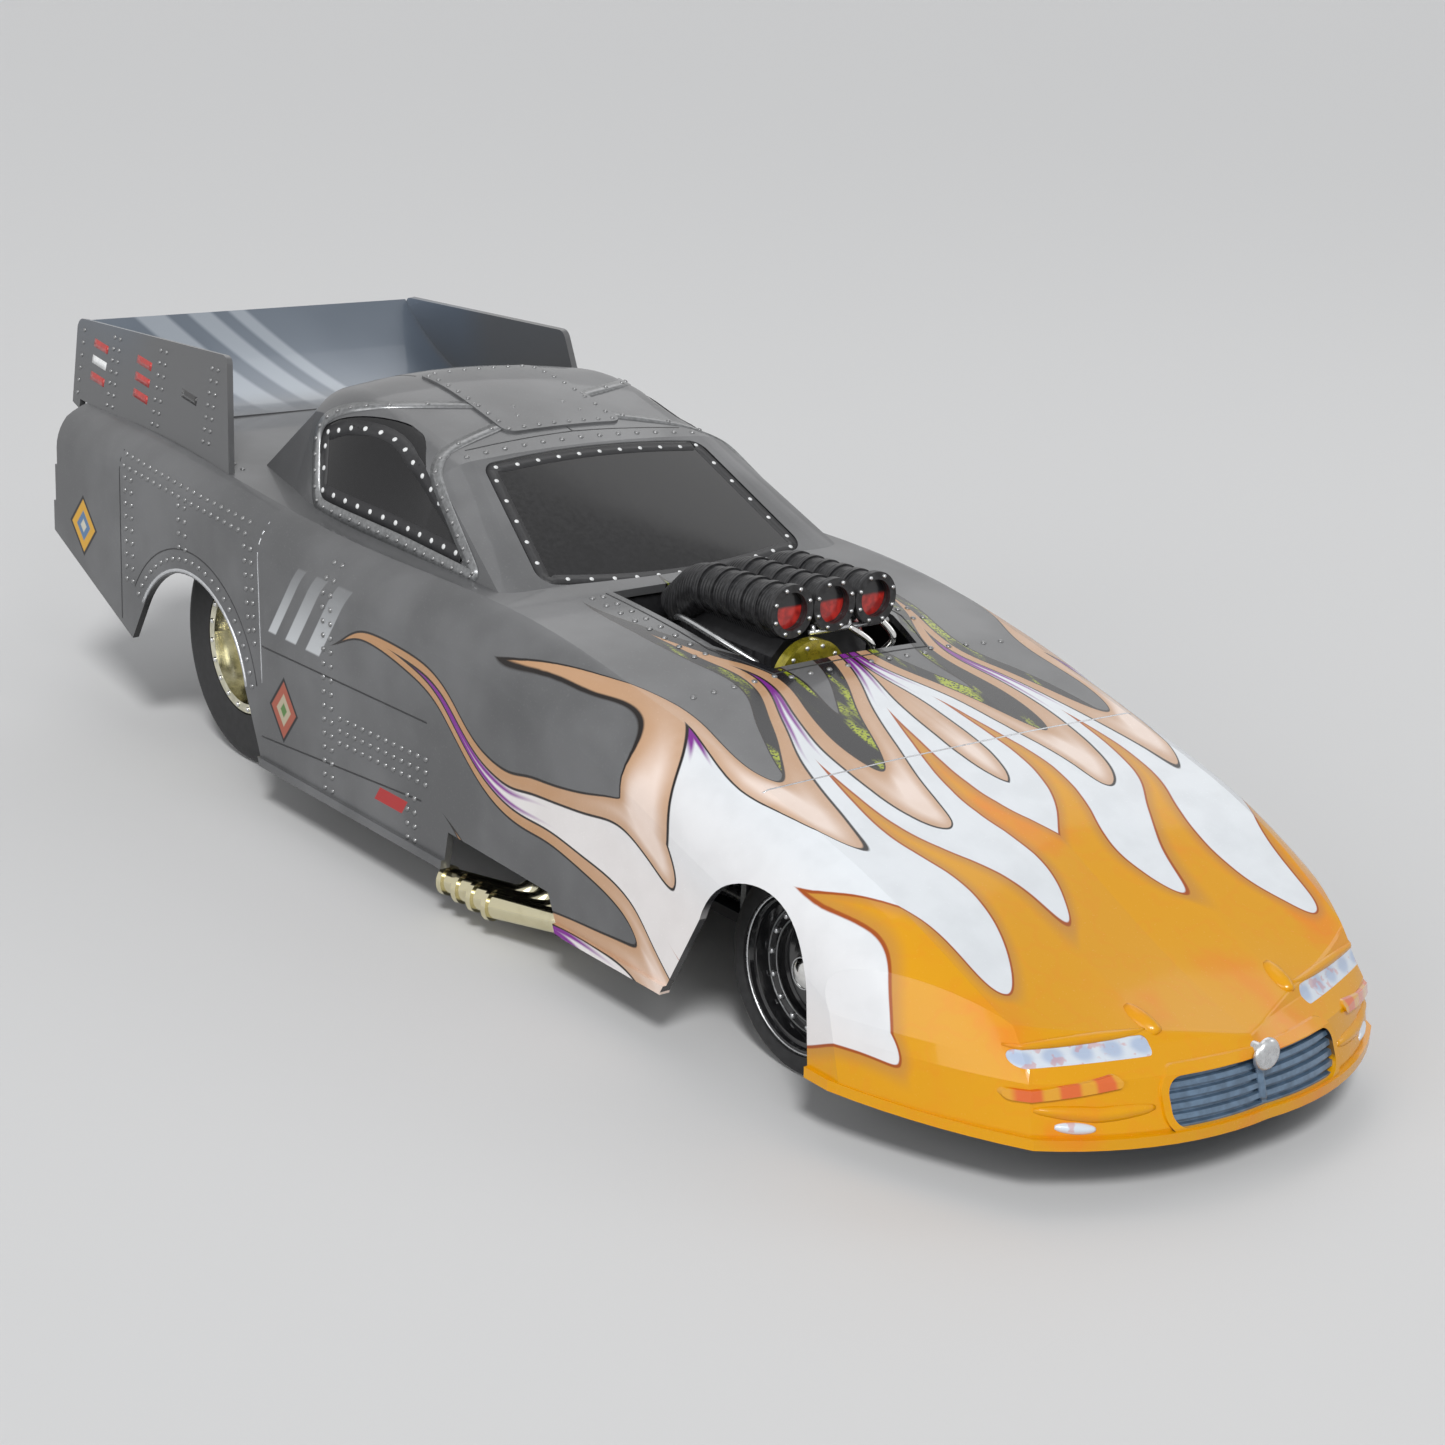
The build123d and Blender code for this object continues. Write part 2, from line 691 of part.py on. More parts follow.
with BuildPart() as roof_hatch:
    with BuildSketch(Plane.XY.offset(cabin_foot_z)):
        with Locations((0, sum(hatch_y) / 2)):
            RectangleRounded(2 * hatch_half_width, hatch_y[1] - hatch_y[0], hatch_corner)
    extrude(amount=30.0)
    add(hatch_skin, mode=Mode.INTERSECT)
finish(roof_hatch.part, "roof_hatch", grey)

# Hinge brackets hang from the deck
for side, name in ((1, "left"), (-1, "right")):
    with BuildPart() as bracket:
        with BuildSketch(Plane.YZ.offset(side * bracket_x - bracket_thickness / 2)):
            with BuildLine():
                Polyline((hinge_y - hinge_eye_radius, hinge_z), (hinge_y - 6, tail_top_z + 2),
                         (hinge_y + 3, tail_top_z + 2), (hinge_y + hinge_eye_radius, hinge_z), close=True)
            make_face()
            with Locations((hinge_y, hinge_z)):
                Circle(hinge_eye_radius)
                Circle(hinge_pin_radius + running_clearance, mode=Mode.SUBTRACT)
        extrude(amount=bracket_thickness)
        add(lower_inner, mode=Mode.INTERSECT)
    finish(bracket.part, f"hinge_bracket_{name}", metal)


def tube(start, end, radius):
    """Round tube between two points with a ball at each end."""
    run = Vector(*end) - Vector(*start)
    with BuildPart() as piece:
        with BuildSketch(Plane(start, z_dir=run)):
            Circle(radius)
        extrude(amount=run.length)
        with Locations(start, end):
            Sphere(radius)
    return piece.part


def tube_frame(tubes, radius):
    """Tubes on the left side and their mirror images."""
    pieces = [tube(start, end, radius) for start, end in tubes]
    with BuildPart() as half:
        for piece in pieces:
            add(piece)
        mirror(about=Plane.YZ)
    return half.part


# Chassis frame
side_frames = tube_frame(RAIL_TUBES, rail_radius)
cross_tubes = [tube((-half, y, z), (half, y, z), rail_radius) for half, y, z in CROSS_TUBES]
with BuildPart() as frame_rails:
    add(side_frames)
    for piece in cross_tubes:
        add(piece)
    for eye_x in (hinge_eye_x, -hinge_eye_x):
        with BuildSketch(Plane.YZ.offset(eye_x - hinge_eye_width / 2)):
            with Locations((hinge_y, hinge_z)):
                Circle(hinge_eye_radius)
        extrude(amount=hinge_eye_width)
    with Locations(Location((0, hinge_y, hinge_z), (0, 90, 0))):
        Cylinder(hinge_pin_radius, 2 * hinge_pin_half_length, mode=Mode.SUBTRACT)
finish(frame_rails.part, "frame_rails", black)

cage_half = tube_frame(CAGE_TUBES, rail_radius)
cage_cross = [tube((-x, y, z), (x, y, z), rail_radius) for x, y, z in (cage_top, cage_dash)]
with BuildPart() as roll_cage:
    add(cage_half)
    for piece in cage_cross:
        add(piece)
    add(frame_rails.part, mode=Mode.SUBTRACT)
finish(roll_cage.part, "roll_cage", black)

with BuildPart() as hinge_pin:
    with Locations(Location((0, hinge_y, hinge_z), (0, 90, 0))):
        Cylinder(hinge_pin_radius, 2 * hinge_pin_half_length)
finish(hinge_pin.part, "hinge_pin", metal)

with BuildPart() as floor_pan:
    with BuildSketch(Plane.XY.offset(pan_z)):
        with Locations((0, (pan_front_y + pan_rear_y) / 2)):
            Rectangle(2 * pan_half_width, pan_rear_y - pan_front_y)
        with Locations((0, sum(tub_y) / 2)):
            Rectangle(2 * tub_half_width, tub_y[1] - tub_y[0])
        fillet(vertices(), pan_corner)
    extrude(amount=pan_thickness)
    with Locations(*[(0, y, pan_top_z + screw_boss_height / 2) for y in screw_y]):
        Cylinder(screw_boss_radius, screw_boss_height)
    with Locations(*[(0, y, pan_z) for y in screw_y]):
        Cylinder(screw_hole_radius, 20, mode=Mode.SUBTRACT)
    add(frame_rails.part, mode=Mode.SUBTRACT)
finish(floor_pan.part, "floor_pan", black)

# Axles: beam, knuckles, spindles with their nuts, and the plates that tie the beam to the rails
hub_face_x = front_wheel_outer_x - rim_recess - hub_recess
knuckle_x = front_wheel_outer_x - front_tyre_width - knuckle_gap - knuckle_radius
front_centre = Location((0, front_axle_y, front_axle_z))
rear_centre = Location((0, rear_axle_y, rear_axle_z))
crosswise = Location((0, 0, 0), (0, 90, 0))
with BuildPart() as front_axle:
    with Locations(front_centre * crosswise):
        Cylinder(axle_radius, 2 * knuckle_x)
        Cylinder(spindle_radius, 2 * (hub_face_x + 0.5))
    for side in (-1, 1):
        with Locations(Location((side * (hub_face_x + 0.55), front_axle_y, front_axle_z)) * crosswise):
            Cylinder(spindle_nut_radius, 0.8)
        with Locations((side * knuckle_x, front_axle_y, front_axle_z)):
            Cylinder(knuckle_radius, knuckle_height)
        with Locations((side * (rail_x - 0.6), front_axle_y, (rail_z + upper_front[2]) / 2)):
            Box(axle_plate_thickness, axle_plate_length, upper_front[2] - rail_z)
    add(frame_rails.part, mode=Mode.SUBTRACT)
finish(largest(front_axle.part), "front_axle", metal)

with BuildPart() as rear_axle_housing:
    with Locations(rear_centre * crosswise):
        Cylinder(housing_radius, 2 * housing_half_length)
        Cylinder(differential_radius, differential_length)
    fillet(edges().filter_by(GeomType.CIRCLE).group_by(SortBy.RADIUS)[-1], 2.0)
    for side in (-1, 1):
        with Locations((side * rail_x, (axle_upright_y + rear_axle_y) / 2, rear_axle_z)):
            Box(housing_plate_thickness, rear_axle_y - axle_upright_y, housing_plate_height)
    with Locations(rear_centre * crosswise):
        Cylinder(shaft_radius + running_clearance, 60, mode=Mode.SUBTRACT)
    add(frame_rails.part, mode=Mode.SUBTRACT)
finish(largest(rear_axle_housing.part), "rear_axle_housing", dark)

with BuildPart() as rear_axle_shaft:
    with Locations(rear_centre * crosswise):
        Cylinder(shaft_radius, 2 * (rear_wheel_outer_x - rim_recess - hub_recess))
finish(rear_axle_shaft.part, "rear_axle_shaft", metal)


def turned(points):
    """Ring turned about the x axis from (x, radius) points."""
    with BuildPart() as ring:
        with BuildSketch(Plane.XY):
            with BuildLine():
                Polyline(*points, close=True)
            make_face()
        revolve(axis=Axis.X)
    return ring.part


def tyre(outer_x, width, radius, rim_radius, shoulder):
    """Slick tyre with rounded shoulders, its outer face at outer_x."""
    with BuildPart() as ring:
        with BuildSketch(Plane.XY):
            with Locations((outer_x - width / 2, (radius + rim_radius) / 2)):
                Rectangle(width, radius - rim_radius)
            fillet(vertices().group_by(Axis.Y)[-1], shoulder)
        revolve(axis=Axis.X)
    return ring.part


def front_rim(outer_x, width, radius, hub_radius, bore):
    """Deep dish that steps down in rings to the hub."""
    back_x = outer_x - width
    hub_x = outer_x - hub_recess
    return turned(((back_x, radius), (outer_x, radius), (outer_x, radius - 0.7), (outer_x - 0.5, radius - 0.9),
                   (outer_x - 0.5, radius - 1.5), (outer_x - 2.0, radius - 2.0), (outer_x - 2.0, radius - 3.4),
                   (outer_x - 3.0, radius - 3.8), (outer_x - 3.0, hub_radius + 1.6),
                   (outer_x - 2.4, hub_radius + 1.2), (outer_x - 2.4, hub_radius), (hub_x, hub_radius - 0.4),
                   (hub_x, bore), (outer_x - 3.9, bore), (outer_x - 3.9, radius - 3.2),
                   (back_x, radius - 0.9)))


def rear_rim(outer_x, width, radius, hub_radius, bore):
    """Bead-lock ring, dished web with oval windows, and hub."""
    back_x = outer_x - width
    hub_x = outer_x - hub_recess
    web_x = outer_x - 3.4
    blank = turned(((back_x, radius), (outer_x, radius), (outer_x + rim_recess, radius - 0.3),
                    (outer_x + rim_recess, radius - 1.7), (outer_x - 0.6, radius - 1.9),
                    (web_x, radius - 2.5), (web_x - 0.8, hub_radius + 0.8), (hub_x - 0.4, hub_radius),
                    (hub_x, hub_radius - 0.5), (hub_x, bore), (web_x - 2.2, bore),
                    (web_x - 2.2, hub_radius + 0.6), (web_x - 1.2, radius - 2.3), (back_x, radius - 0.9)))
    window_radius = (radius - 2.5 + hub_radius + 0.8) / 2
    with BuildPart() as wheel:
        add(blank)
        with BuildSketch(Plane.YZ.offset(back_x)):
            with PolarLocations(window_radius, rear_windows):
                Ellipse(window_half_size[0], window_half_size[1])
        extrude(amount=width, mode=Mode.SUBTRACT)
    return wheel.part


WHEELS = (
    ("front", front_centre,
     tyre(front_wheel_outer_x, front_tyre_width, front_tyre_radius, front_rim_radius, front_tyre_shoulder),
     front_rim(front_wheel_outer_x - rim_recess, front_tyre_width - 2 * rim_recess, front_rim_radius,
               front_hub_radius, spindle_radius + running_clearance)),
    ("rear", rear_centre,
     tyre(rear_wheel_outer_x, rear_tyre_width, rear_tyre_radius, rear_rim_radius, rear_tyre_shoulder),
     rear_rim(rear_wheel_outer_x - rim_recess, rear_tyre_width - 2 * rim_recess, rear_rim_radius,
              rear_hub_radius, shaft_radius)),
)
for name, centre, tyre_ring, rim in WHEELS:
    for part_name, piece, colour in (("tyre", centre * tyre_ring, dark), ("rim", centre * rim, metal)):
        finish(piece, f"{name}_{part_name}_left", colour)
        finish(mirror(piece, about=Plane.YZ), f"{name}_{part_name}_right", colour)

# Engine
with BuildPart() as engine_block:
    with BuildSketch(Plane.XZ.offset(-engine_rear_y)):
        with BuildLine():
            Polyline((0, crank_bottom_z), (crank_half_width, crank_bottom_z), bank_foot, bank_outer, bank_inner,
                     valley, (0, valley[1]))
            mirror(about=Plane.YZ)
        make_face()
    extrude(amount=engine_rear_y - engine_front_y)
    for y in (engine_front_y, engine_rear_y - motor_plate_thickness):
        with BuildSketch(Plane.XZ.offset(-y)):
            with Locations((0, (motor_plate_top_z + pan_top_z + side_gap) / 2)):
                Rectangle(2 * motor_plate_half_width, motor_plate_top_z - pan_top_z - side_gap)
        extrude(amount=-motor_plate_thickness)
    add(frame_rails.part, mode=Mode.SUBTRACT)
finish(engine_block.part, "engine_block", metal)

along_bank = Vector(bank_inner[0] - bank_outer[0], bank_inner[1] - bank_outer[1]).normalized()
out_of_bank = Vector(-along_bank.Y, along_bank.X) * -1
for side, name in ((1, "left"), (-1, "right")):
    foot_outer = Vector(*bank_outer) + along_bank * valve_cover_inset
    foot_inner = Vector(*bank_inner) - along_bank * valve_cover_inset
    top_outer = foot_outer + out_of_bank * valve_cover_height + along_bank * valve_cover_taper
    top_inner = foot_inner + out_of_bank * valve_cover_height - along_bank * valve_cover_taper
    with BuildPart() as valve_cover:
        with BuildSketch(Plane.XZ.offset(-engine_rear_y + valve_cover_end_gap)):
            with BuildLine():
                cover_points = (foot_outer, top_outer, top_inner, foot_inner)
                Polyline(*[(side * point.X, point.Y) for point in cover_points], close=True)
            make_face()
        extrude(amount=engine_rear_y - engine_front_y - 2 * valve_cover_end_gap)
    finish(valve_cover.part, f"valve_cover_{name}", metal)

with BuildPart() as blower:
    with BuildSketch(Plane.XZ.offset(-blower_y[1])):
        with BuildLine():
            Polyline((0, valley[1]), (valley[0] - 0.4, valley[1]), (manifold_half_width, manifold_top_z),
                     (blower_half_width - 1.5, manifold_top_z), (blower_half_width, manifold_top_z + 1.5),
                     (blower_half_width, blower_top_z - 2.0), (blower_half_width - 2.0, blower_top_z),
                     (0, blower_top_z))
            mirror(about=Plane.YZ)
        make_face()
    extrude(amount=blower_y[1] - blower_y[0])
    with BuildSketch(Plane.YZ.offset(-blower_half_width - blower_rib_rise)):
        with Locations((sum(blower_y) / 2, (manifold_top_z + blower_top_z) / 2)):
            with GridLocations(blower_rib_pitch, 1, blower_ribs, 1):
                Rectangle(blower_rib_width, blower_top_z - manifold_top_z - 4.0)
    extrude(amount=2 * (blower_half_width + blower_rib_rise))
finish(blower.part, "blower", dark)

with BuildPart() as belt_guard:
    with BuildSketch(Plane.XZ.offset(-engine_front_y)):
        with BuildLine():
            low = CenterArc((0, guard_crank_z), guard_crank_radius, 180, 180)
            high = CenterArc((guard_blower_x, guard_blower_z), guard_blower_radius, 0, 180)
            Line(low @ 0, high @ 1)
            Line(low @ 1, high @ 0)
        make_face()
    extrude(amount=guard_thickness)
    with BuildSketch(Plane.XZ.offset(-engine_front_y + guard_thickness)):
        with Locations((0, guard_crank_z)):
            Circle(pulley_radius - 1.0)
        with Locations((guard_blower_x, guard_blower_z)):
            Circle(pulley_radius)
    extrude(amount=pulley_rise)
    with BuildSketch(Plane.XZ.offset(-blower_y[0])):
        with Locations((guard_blower_x, guard_blower_z)):
            Circle(pulley_radius)
    extrude(amount=blower_y[0] - engine_front_y)
finish(belt_guard.part, "belt_guard", (0.7, 0.6, 0.1))

# Injector hat: plenum and three ribbed barrels that bend down at the back
barrel_run = Vector(0, barrel_front_y - barrel_bend_y, barrel_front_z - barrel_bend_z)
barrel_xs = (-barrel_x, 0, barrel_x)


def on_barrel(x, distance):
    """Plane across a barrel, a distance behind its face."""
    start = Vector(x, barrel_front_y, barrel_front_z) - barrel_run.normalized() * distance
    return Plane(start, z_dir=barrel_run)


with BuildPart() as injector_hat:
    for size, y, z in ((hat_foot, hat_y[0], blower_top_z), (hat_top, hat_y[1], hat_top_z)):
        with BuildSketch(Plane.XY.offset(z)):
            with Locations((0, y)):
                RectangleRounded(size[0], size[1], 2.0)
    loft()
    for x in barrel_xs:
        with BuildLine() as barrel_path:
            FilletPolyline((x, barrel_front_y, barrel_front_z), (x, barrel_bend_y, barrel_bend_z),
                           (x, *barrel_tail), radius=barrel_bend_radius)
        with BuildSketch(on_barrel(x, 0)):
            Circle(barrel_radius)
        sweep(path=barrel_path.line)
        with BuildSketch(on_barrel(x, 0)):
            Circle(barrel_rim_radius)
        extrude(amount=-barrel_rim_width)
        for rib in range(barrel_ribs):
            with BuildSketch(on_barrel(x, barrel_rib_start + rib * barrel_rib_pitch)):
                Circle(barrel_radius + barrel_rib_rise)
            extrude(amount=-barrel_rib_width)
    for x in barrel_xs:
        with BuildSketch(on_barrel(x, 0)):
            Circle(barrel_bore)
        extrude(amount=-barrel_bore_depth, mode=Mode.SUBTRACT)
    add(blower.part, mode=Mode.SUBTRACT)
finish(injector_hat.part, "injector_hat", dark)

with BuildPart() as butterflies:
    for x in barrel_xs:
        with BuildSketch(on_barrel(x, butterfly_depth)):
            Circle(barrel_bore)
        extrude(amount=-butterfly_thickness)
finish(butterflies.part, "butterflies", (0.7, 0.05, 0.05))

for side, name in ((1, "left"), (-1, "right")):
    with BuildPart() as header:
        for port_y, belly_y, tip_y in PIPES:
            with BuildLine() as route:
                FilletPolyline((side * port[0], port_y, port[1]), (side * pipe_knee[0], port_y, pipe_knee[1]),
                               (side * pipe_belly[0], belly_y, pipe_belly[1]),
                               (side * pipe_tip[0], tip_y, pipe_tip[1]), radius=pipe_bend)
            with BuildSketch(Plane(route.line @ 0, z_dir=route.line % 0)):
                Circle(pipe_radius)
            sweep(path=route.line)
            tip = Plane(route.line @ 1, z_dir=route.line % 1)
            with BuildSketch(tip):
                Circle(pipe_collar_radius)
            extrude(amount=-pipe_collar_length)
            with BuildSketch(tip):
                Circle(pipe_bore)
            extrude(amount=-pipe_bore_depth, mode=Mode.SUBTRACT)
        with BuildSketch(Plane.XZ.offset(-PIPES[-1][0] - flange_overhang)):
            with Locations(Location((side * (port[0] - 0.8), port[1] - 0.3), -flange_tilt * side)):
                Rectangle(*flange_size)
        extrude(amount=PIPES[-1][0] - PIPES[0][0] + 2 * flange_overhang)
        add(engine_block.part, mode=Mode.SUBTRACT)
        add(frame_rails.part, mode=Mode.SUBTRACT)
        add(body_shell.part, mode=Mode.SUBTRACT)
    finish(header.part, f"header_{name}", metal)

# Cockpit
with BuildPart() as firewall:
    outline = firewall_half + tuple((-x, z) for x, z in reversed(firewall_half))
    with BuildSketch(Plane.XZ.offset(-firewall_y)):
        with BuildLine():
            Polyline(*outline, close=True)
        make_face()
    extrude(amount=-firewall_thickness)
    add(frame_rails.part, mode=Mode.SUBTRACT)
finish(firewall.part, "firewall", grey)

with BuildPart() as seat:
    with BuildSketch(Plane.YZ.offset(-seat_half_width)):
        with BuildLine():
            Polyline(*seat_outline, close=True)
        make_face()
        fillet(vertices().sort_by(Axis.Y)[2:], seat_corner)
    extrude(amount=2 * seat_half_width)
    add(frame_rails.part, mode=Mode.SUBTRACT)
finish(seat.part, "seat", dark)

with BuildPart() as steering_yoke:
    dash_y = firewall_y + firewall_thickness
    column = Plane((0, dash_y, column_z), x_dir=(1, 0, 0), z_dir=(0, 1, column_rake))
    with BuildSketch(column):
        Circle(column_radius)
    extrude(amount=column_length)
    with BuildSketch(column.offset(column_length - yoke_bar / 2)):
        Circle(yoke_radius)
        Circle(yoke_radius - yoke_bar, mode=Mode.SUBTRACT)
        Rectangle(2 * yoke_radius - yoke_bar, yoke_bar)
        with Locations((0, -yoke_radius)):
            Rectangle(2 * yoke_radius + yoke_bar, yoke_radius + yoke_bar, mode=Mode.SUBTRACT)
    extrude(amount=yoke_bar)
    add(firewall.part, mode=Mode.SUBTRACT)
finish(largest(steering_yoke.part), "steering_yoke", dark)

with BuildPart() as fuel_tank:
    with Locations((0, tank_y, rail_z + tank_height / 2)):
        Box(2 * (rail_x - rail_radius - side_gap), tank_length, tank_height)
    fillet(edges(), tank_corner)
    add(frame_rails.part, mode=Mode.SUBTRACT)
finish(largest(fuel_tank.part), "fuel_tank", grey)

for side, name in ((1, "left"), (-1, "right")):
    with BuildPart() as pack:
        with Locations((side * pack_x, pack_y, pack_seat_z + pack_size[2] / 2)):
            Box(*pack_size)
        fillet(edges(), pack_corner)
        add(frame_rails.part, mode=Mode.SUBTRACT)
    finish(largest(pack.part), f"parachute_pack_{name}", dark)

# Wheelie bar from the rear cross tube to its two small wheels
wheelie_z = wheelie_floor_gap + wheelie_wheel_radius - ride_height
with BuildPart() as wheelie_bar:
    bars = [tube((side * wheelie_x, axle_upright_y, rail_z), (side * wheelie_x, wheelie_wheel_y, wheelie_z),
                 wheelie_tube_radius) for side in (-1, 1)]
    cross_z = wheelie_z + (rail_z - wheelie_z) * (wheelie_wheel_y - wheelie_cross_y) / (
        wheelie_wheel_y - axle_upright_y)
    bars.append(tube((-wheelie_x, wheelie_cross_y, cross_z), (wheelie_x, wheelie_cross_y, cross_z),
                     wheelie_cross_radius))
    for bar in bars:
        add(bar)
    for side in (-1, 1):
        with Locations(Location((side * wheelie_x, wheelie_wheel_y, wheelie_z)) * crosswise):
            Cylinder(wheelie_wheel_radius, wheelie_wheel_width)
    add(frame_rails.part, mode=Mode.SUBTRACT)
finish(wheelie_bar.part, "wheelie_bar", metal)
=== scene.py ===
import math
from collections import namedtuple
from functools import cache

import bpy
from mathutils import Matrix, Vector
from mathutils.bvhtree import BVHTree


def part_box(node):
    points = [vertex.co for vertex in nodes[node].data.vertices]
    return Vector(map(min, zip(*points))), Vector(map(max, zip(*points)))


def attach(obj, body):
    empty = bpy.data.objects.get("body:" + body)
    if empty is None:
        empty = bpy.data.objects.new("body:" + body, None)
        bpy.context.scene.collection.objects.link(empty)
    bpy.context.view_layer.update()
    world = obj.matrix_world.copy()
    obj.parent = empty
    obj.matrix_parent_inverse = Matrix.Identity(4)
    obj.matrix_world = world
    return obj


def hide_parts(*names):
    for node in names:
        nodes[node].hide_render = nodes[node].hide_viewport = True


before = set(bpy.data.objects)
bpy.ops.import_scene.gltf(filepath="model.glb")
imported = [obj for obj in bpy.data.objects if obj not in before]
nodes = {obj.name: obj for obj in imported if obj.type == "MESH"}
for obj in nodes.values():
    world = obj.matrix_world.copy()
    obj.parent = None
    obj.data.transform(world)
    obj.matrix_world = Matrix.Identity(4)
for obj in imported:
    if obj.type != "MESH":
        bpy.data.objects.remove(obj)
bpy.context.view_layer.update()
scene = bpy.context.scene

# Lengths below are millimetres. Heights count from the body's datum plane, this far above the floor
MM = 0.001
RIDE_HEIGHT = 6.0
SIDES = ((1, "left"), (-1, "right"))

# Camera: where the photograph was taken from, in the frame's metres
CAMERA_PLACE = (-0.23293, -0.29236, 0.14283)
CAMERA_AZIMUTH = math.radians(-39.664)
CAMERA_ELEVATION = math.radians(17.925)
CAMERA_ROLL = math.radians(3.539)
FOCAL_PX = 2764.7
IMAGE_PX = 1445.0
CENTRE_PX = (707.1, 719.1)
SENSOR_MM = 36.0

# Colours, linear
GREY = (0.142, 0.144, 0.148)
INSIDE_GREY = (0.03, 0.03, 0.032)
YELLOW = (0.68, 0.31, 0.001)
ORANGE = (0.76, 0.19, 0.01)
WHITE = (0.72, 0.75, 0.78)
CREAM = (0.80, 0.66, 0.58)
TAN = (0.42, 0.20, 0.06)
BLACK = (0.010, 0.010, 0.012)
GREEN = (0.36, 0.42, 0.015)
PURPLE = (0.20, 0.02, 0.26)
INK = (0.012, 0.009, 0.008)
YELLOW_INK = (0.34, 0.07, 0.008)
PALE_BAR = (0.58, 0.60, 0.62)
LABEL_RED = (0.46, 0.03, 0.03)
PALE_BACKDROP = (0.69, 0.69, 0.69)

# Flames: where each set's edge lies on the hood and on the side, how far its licks reach back on
# each, and how sharply they taper
Flame = namedtuple("Flame", "hood_y side_y hood_reach side_reach taper")
DARK_FLAME = Flame(-52.0, -135.0, 44.0, 4.0, 1.5)
CREAM_FLAME = Flame(-61.0, -43.0, 42.0, 58.0, 1.9)
WHITE_FLAME = Flame(-73.0, -58.0, 38.0, 54.0, 2.2)
YELLOW_FLAME = Flame(-94.0, -96.0, 38.0, 34.0, 2.1)
LICK_PITCH = 15.0
LICK_SHIFT = 0.22
# Counted round the body: where the hood's flames turn into the side's, and the dark ones' limit
HOOD_TO_SIDE = (22.0, 46.0)
DARK_LIMIT = 28.0
# Waves, as radians a millimetre, start and size
EDGE_WAVE = (0.17, 1.0, 5.0)
SWAY_WAVE = (0.13, 0.6, 3.0)
LINE_WIDTH = 0.16
# The fender's crease climbs over this stretch of y
CREASE_Y = (-119.0, 31.0)
CREASE_LOW = 7.4
CREASE_RISE = 31.0
# Slanted bars on the door: middle and half width along y at the height BARS_Z
DOOR_BARS = ((26.6, 1.7), (32.6, 1.3), (37.8, 0.9))
BARS_Z = 28.0
BARS_HALF_HEIGHT = 5.4
BARS_LEAN = 0.7
# Blank lozenge badges on the sides: y, z, half length, half height and colours from the outside in
BADGES = (
    (101.0, 24.6, 4.6, 5.0, (BLACK, (0.70, 0.38, 0.03), (0.10, 0.20, 0.36), (0.62, 0.60, 0.50))),
    (38.4, 11.6, 4.0, 5.0, (BLACK, (0.40, 0.10, 0.06), (0.48, 0.42, 0.30), (0.10, 0.22, 0.06))),
)
BADGE_SHARES = (1.0, 0.86, 0.5, 0.22)


def add_camera():
    """Camera at the photograph's place, angle and framing."""
    az, el = CAMERA_AZIMUTH, CAMERA_ELEVATION
    back = Vector((math.sin(az) * math.cos(el), -math.cos(az) * math.cos(el), math.sin(el)))
    level_right = (-back).cross(Vector((0, 0, 1))).normalized()
    level_up = level_right.cross(-back)
    c, s = math.cos(CAMERA_ROLL), math.sin(CAMERA_ROLL)
    right = c * level_right + s * level_up
    up = -s * level_right + c * level_up
    data = bpy.data.cameras.new("camera")
    data.sensor_fit = "HORIZONTAL"
    data.sensor_width = SENSOR_MM
    data.lens = FOCAL_PX / IMAGE_PX * SENSOR_MM
    data.shift_x = (IMAGE_PX / 2 - CENTRE_PX[0]) / IMAGE_PX
    data.shift_y = (CENTRE_PX[1] - IMAGE_PX / 2) / IMAGE_PX
    data.clip_start = 0.01
    data.clip_end = 30.0
    camera = bpy.data.objects.new("camera", data)
    matrix = Matrix((right, up, back)).transposed().to_4x4()
    matrix.translation = Vector(CAMERA_PLACE)
    camera.matrix_world = matrix
    scene.collection.objects.link(camera)
    scene.camera = camera


# Materials

class Field:
    """A number that varies over a surface, made of Math nodes by ordinary arithmetic."""

    def __init__(self, tree, socket):
        self.tree = tree
        self.socket = socket

    def op(self, operation, *others):
        node = self.tree.nodes.new("ShaderNodeMath")
        node.operation = operation
        for slot_input, value in zip(node.inputs, (self,) + others):
            if isinstance(value, Field):
                self.tree.links.new(value.socket, slot_input)
            else:
                slot_input.default_value = value
        return Field(self.tree, node.outputs[0])

    def __add__(self, other):
        return self.op("ADD", other)

    def __sub__(self, other):
        return self.op("SUBTRACT", other)

    def __mul__(self, other):
        return self.op("MULTIPLY", other)

    def __truediv__(self, other):
        return self.op("DIVIDE", other)

    def power(self, exponent):
        return self.op("POWER", exponent)

    def inverse(self):
        return self * -1.0 + 1.0

    def rise(self, low, high):
        """0 below low, 1 above high and smooth between; falls where low is above high."""
        node = self.tree.nodes.new("ShaderNodeMapRange")
        node.interpolation_type = "SMOOTHSTEP"
        node.inputs["From Min"].default_value = min(low, high)
        node.inputs["From Max"].default_value = max(low, high)
        self.tree.links.new(self.socket, node.inputs["Value"])
        step = Field(self.tree, node.outputs[0])
        return step if low < high else step.inverse()

    def band(self, middle, half, soft):
        """1 within half of the middle, falling to 0 over soft."""
        return (self - middle).op("ABSOLUTE").rise(half + soft, half)

    def wave(self, turn, start, size):
        """Sine over the field, from radians a unit, a start and a size."""
        return (self * turn + start).op("SINE") * size


def most(fields):
    """Greatest of some fields at each place."""
    greatest, *others = fields
    for field in others:
        greatest = greatest.op("MAXIMUM", field)
    return greatest


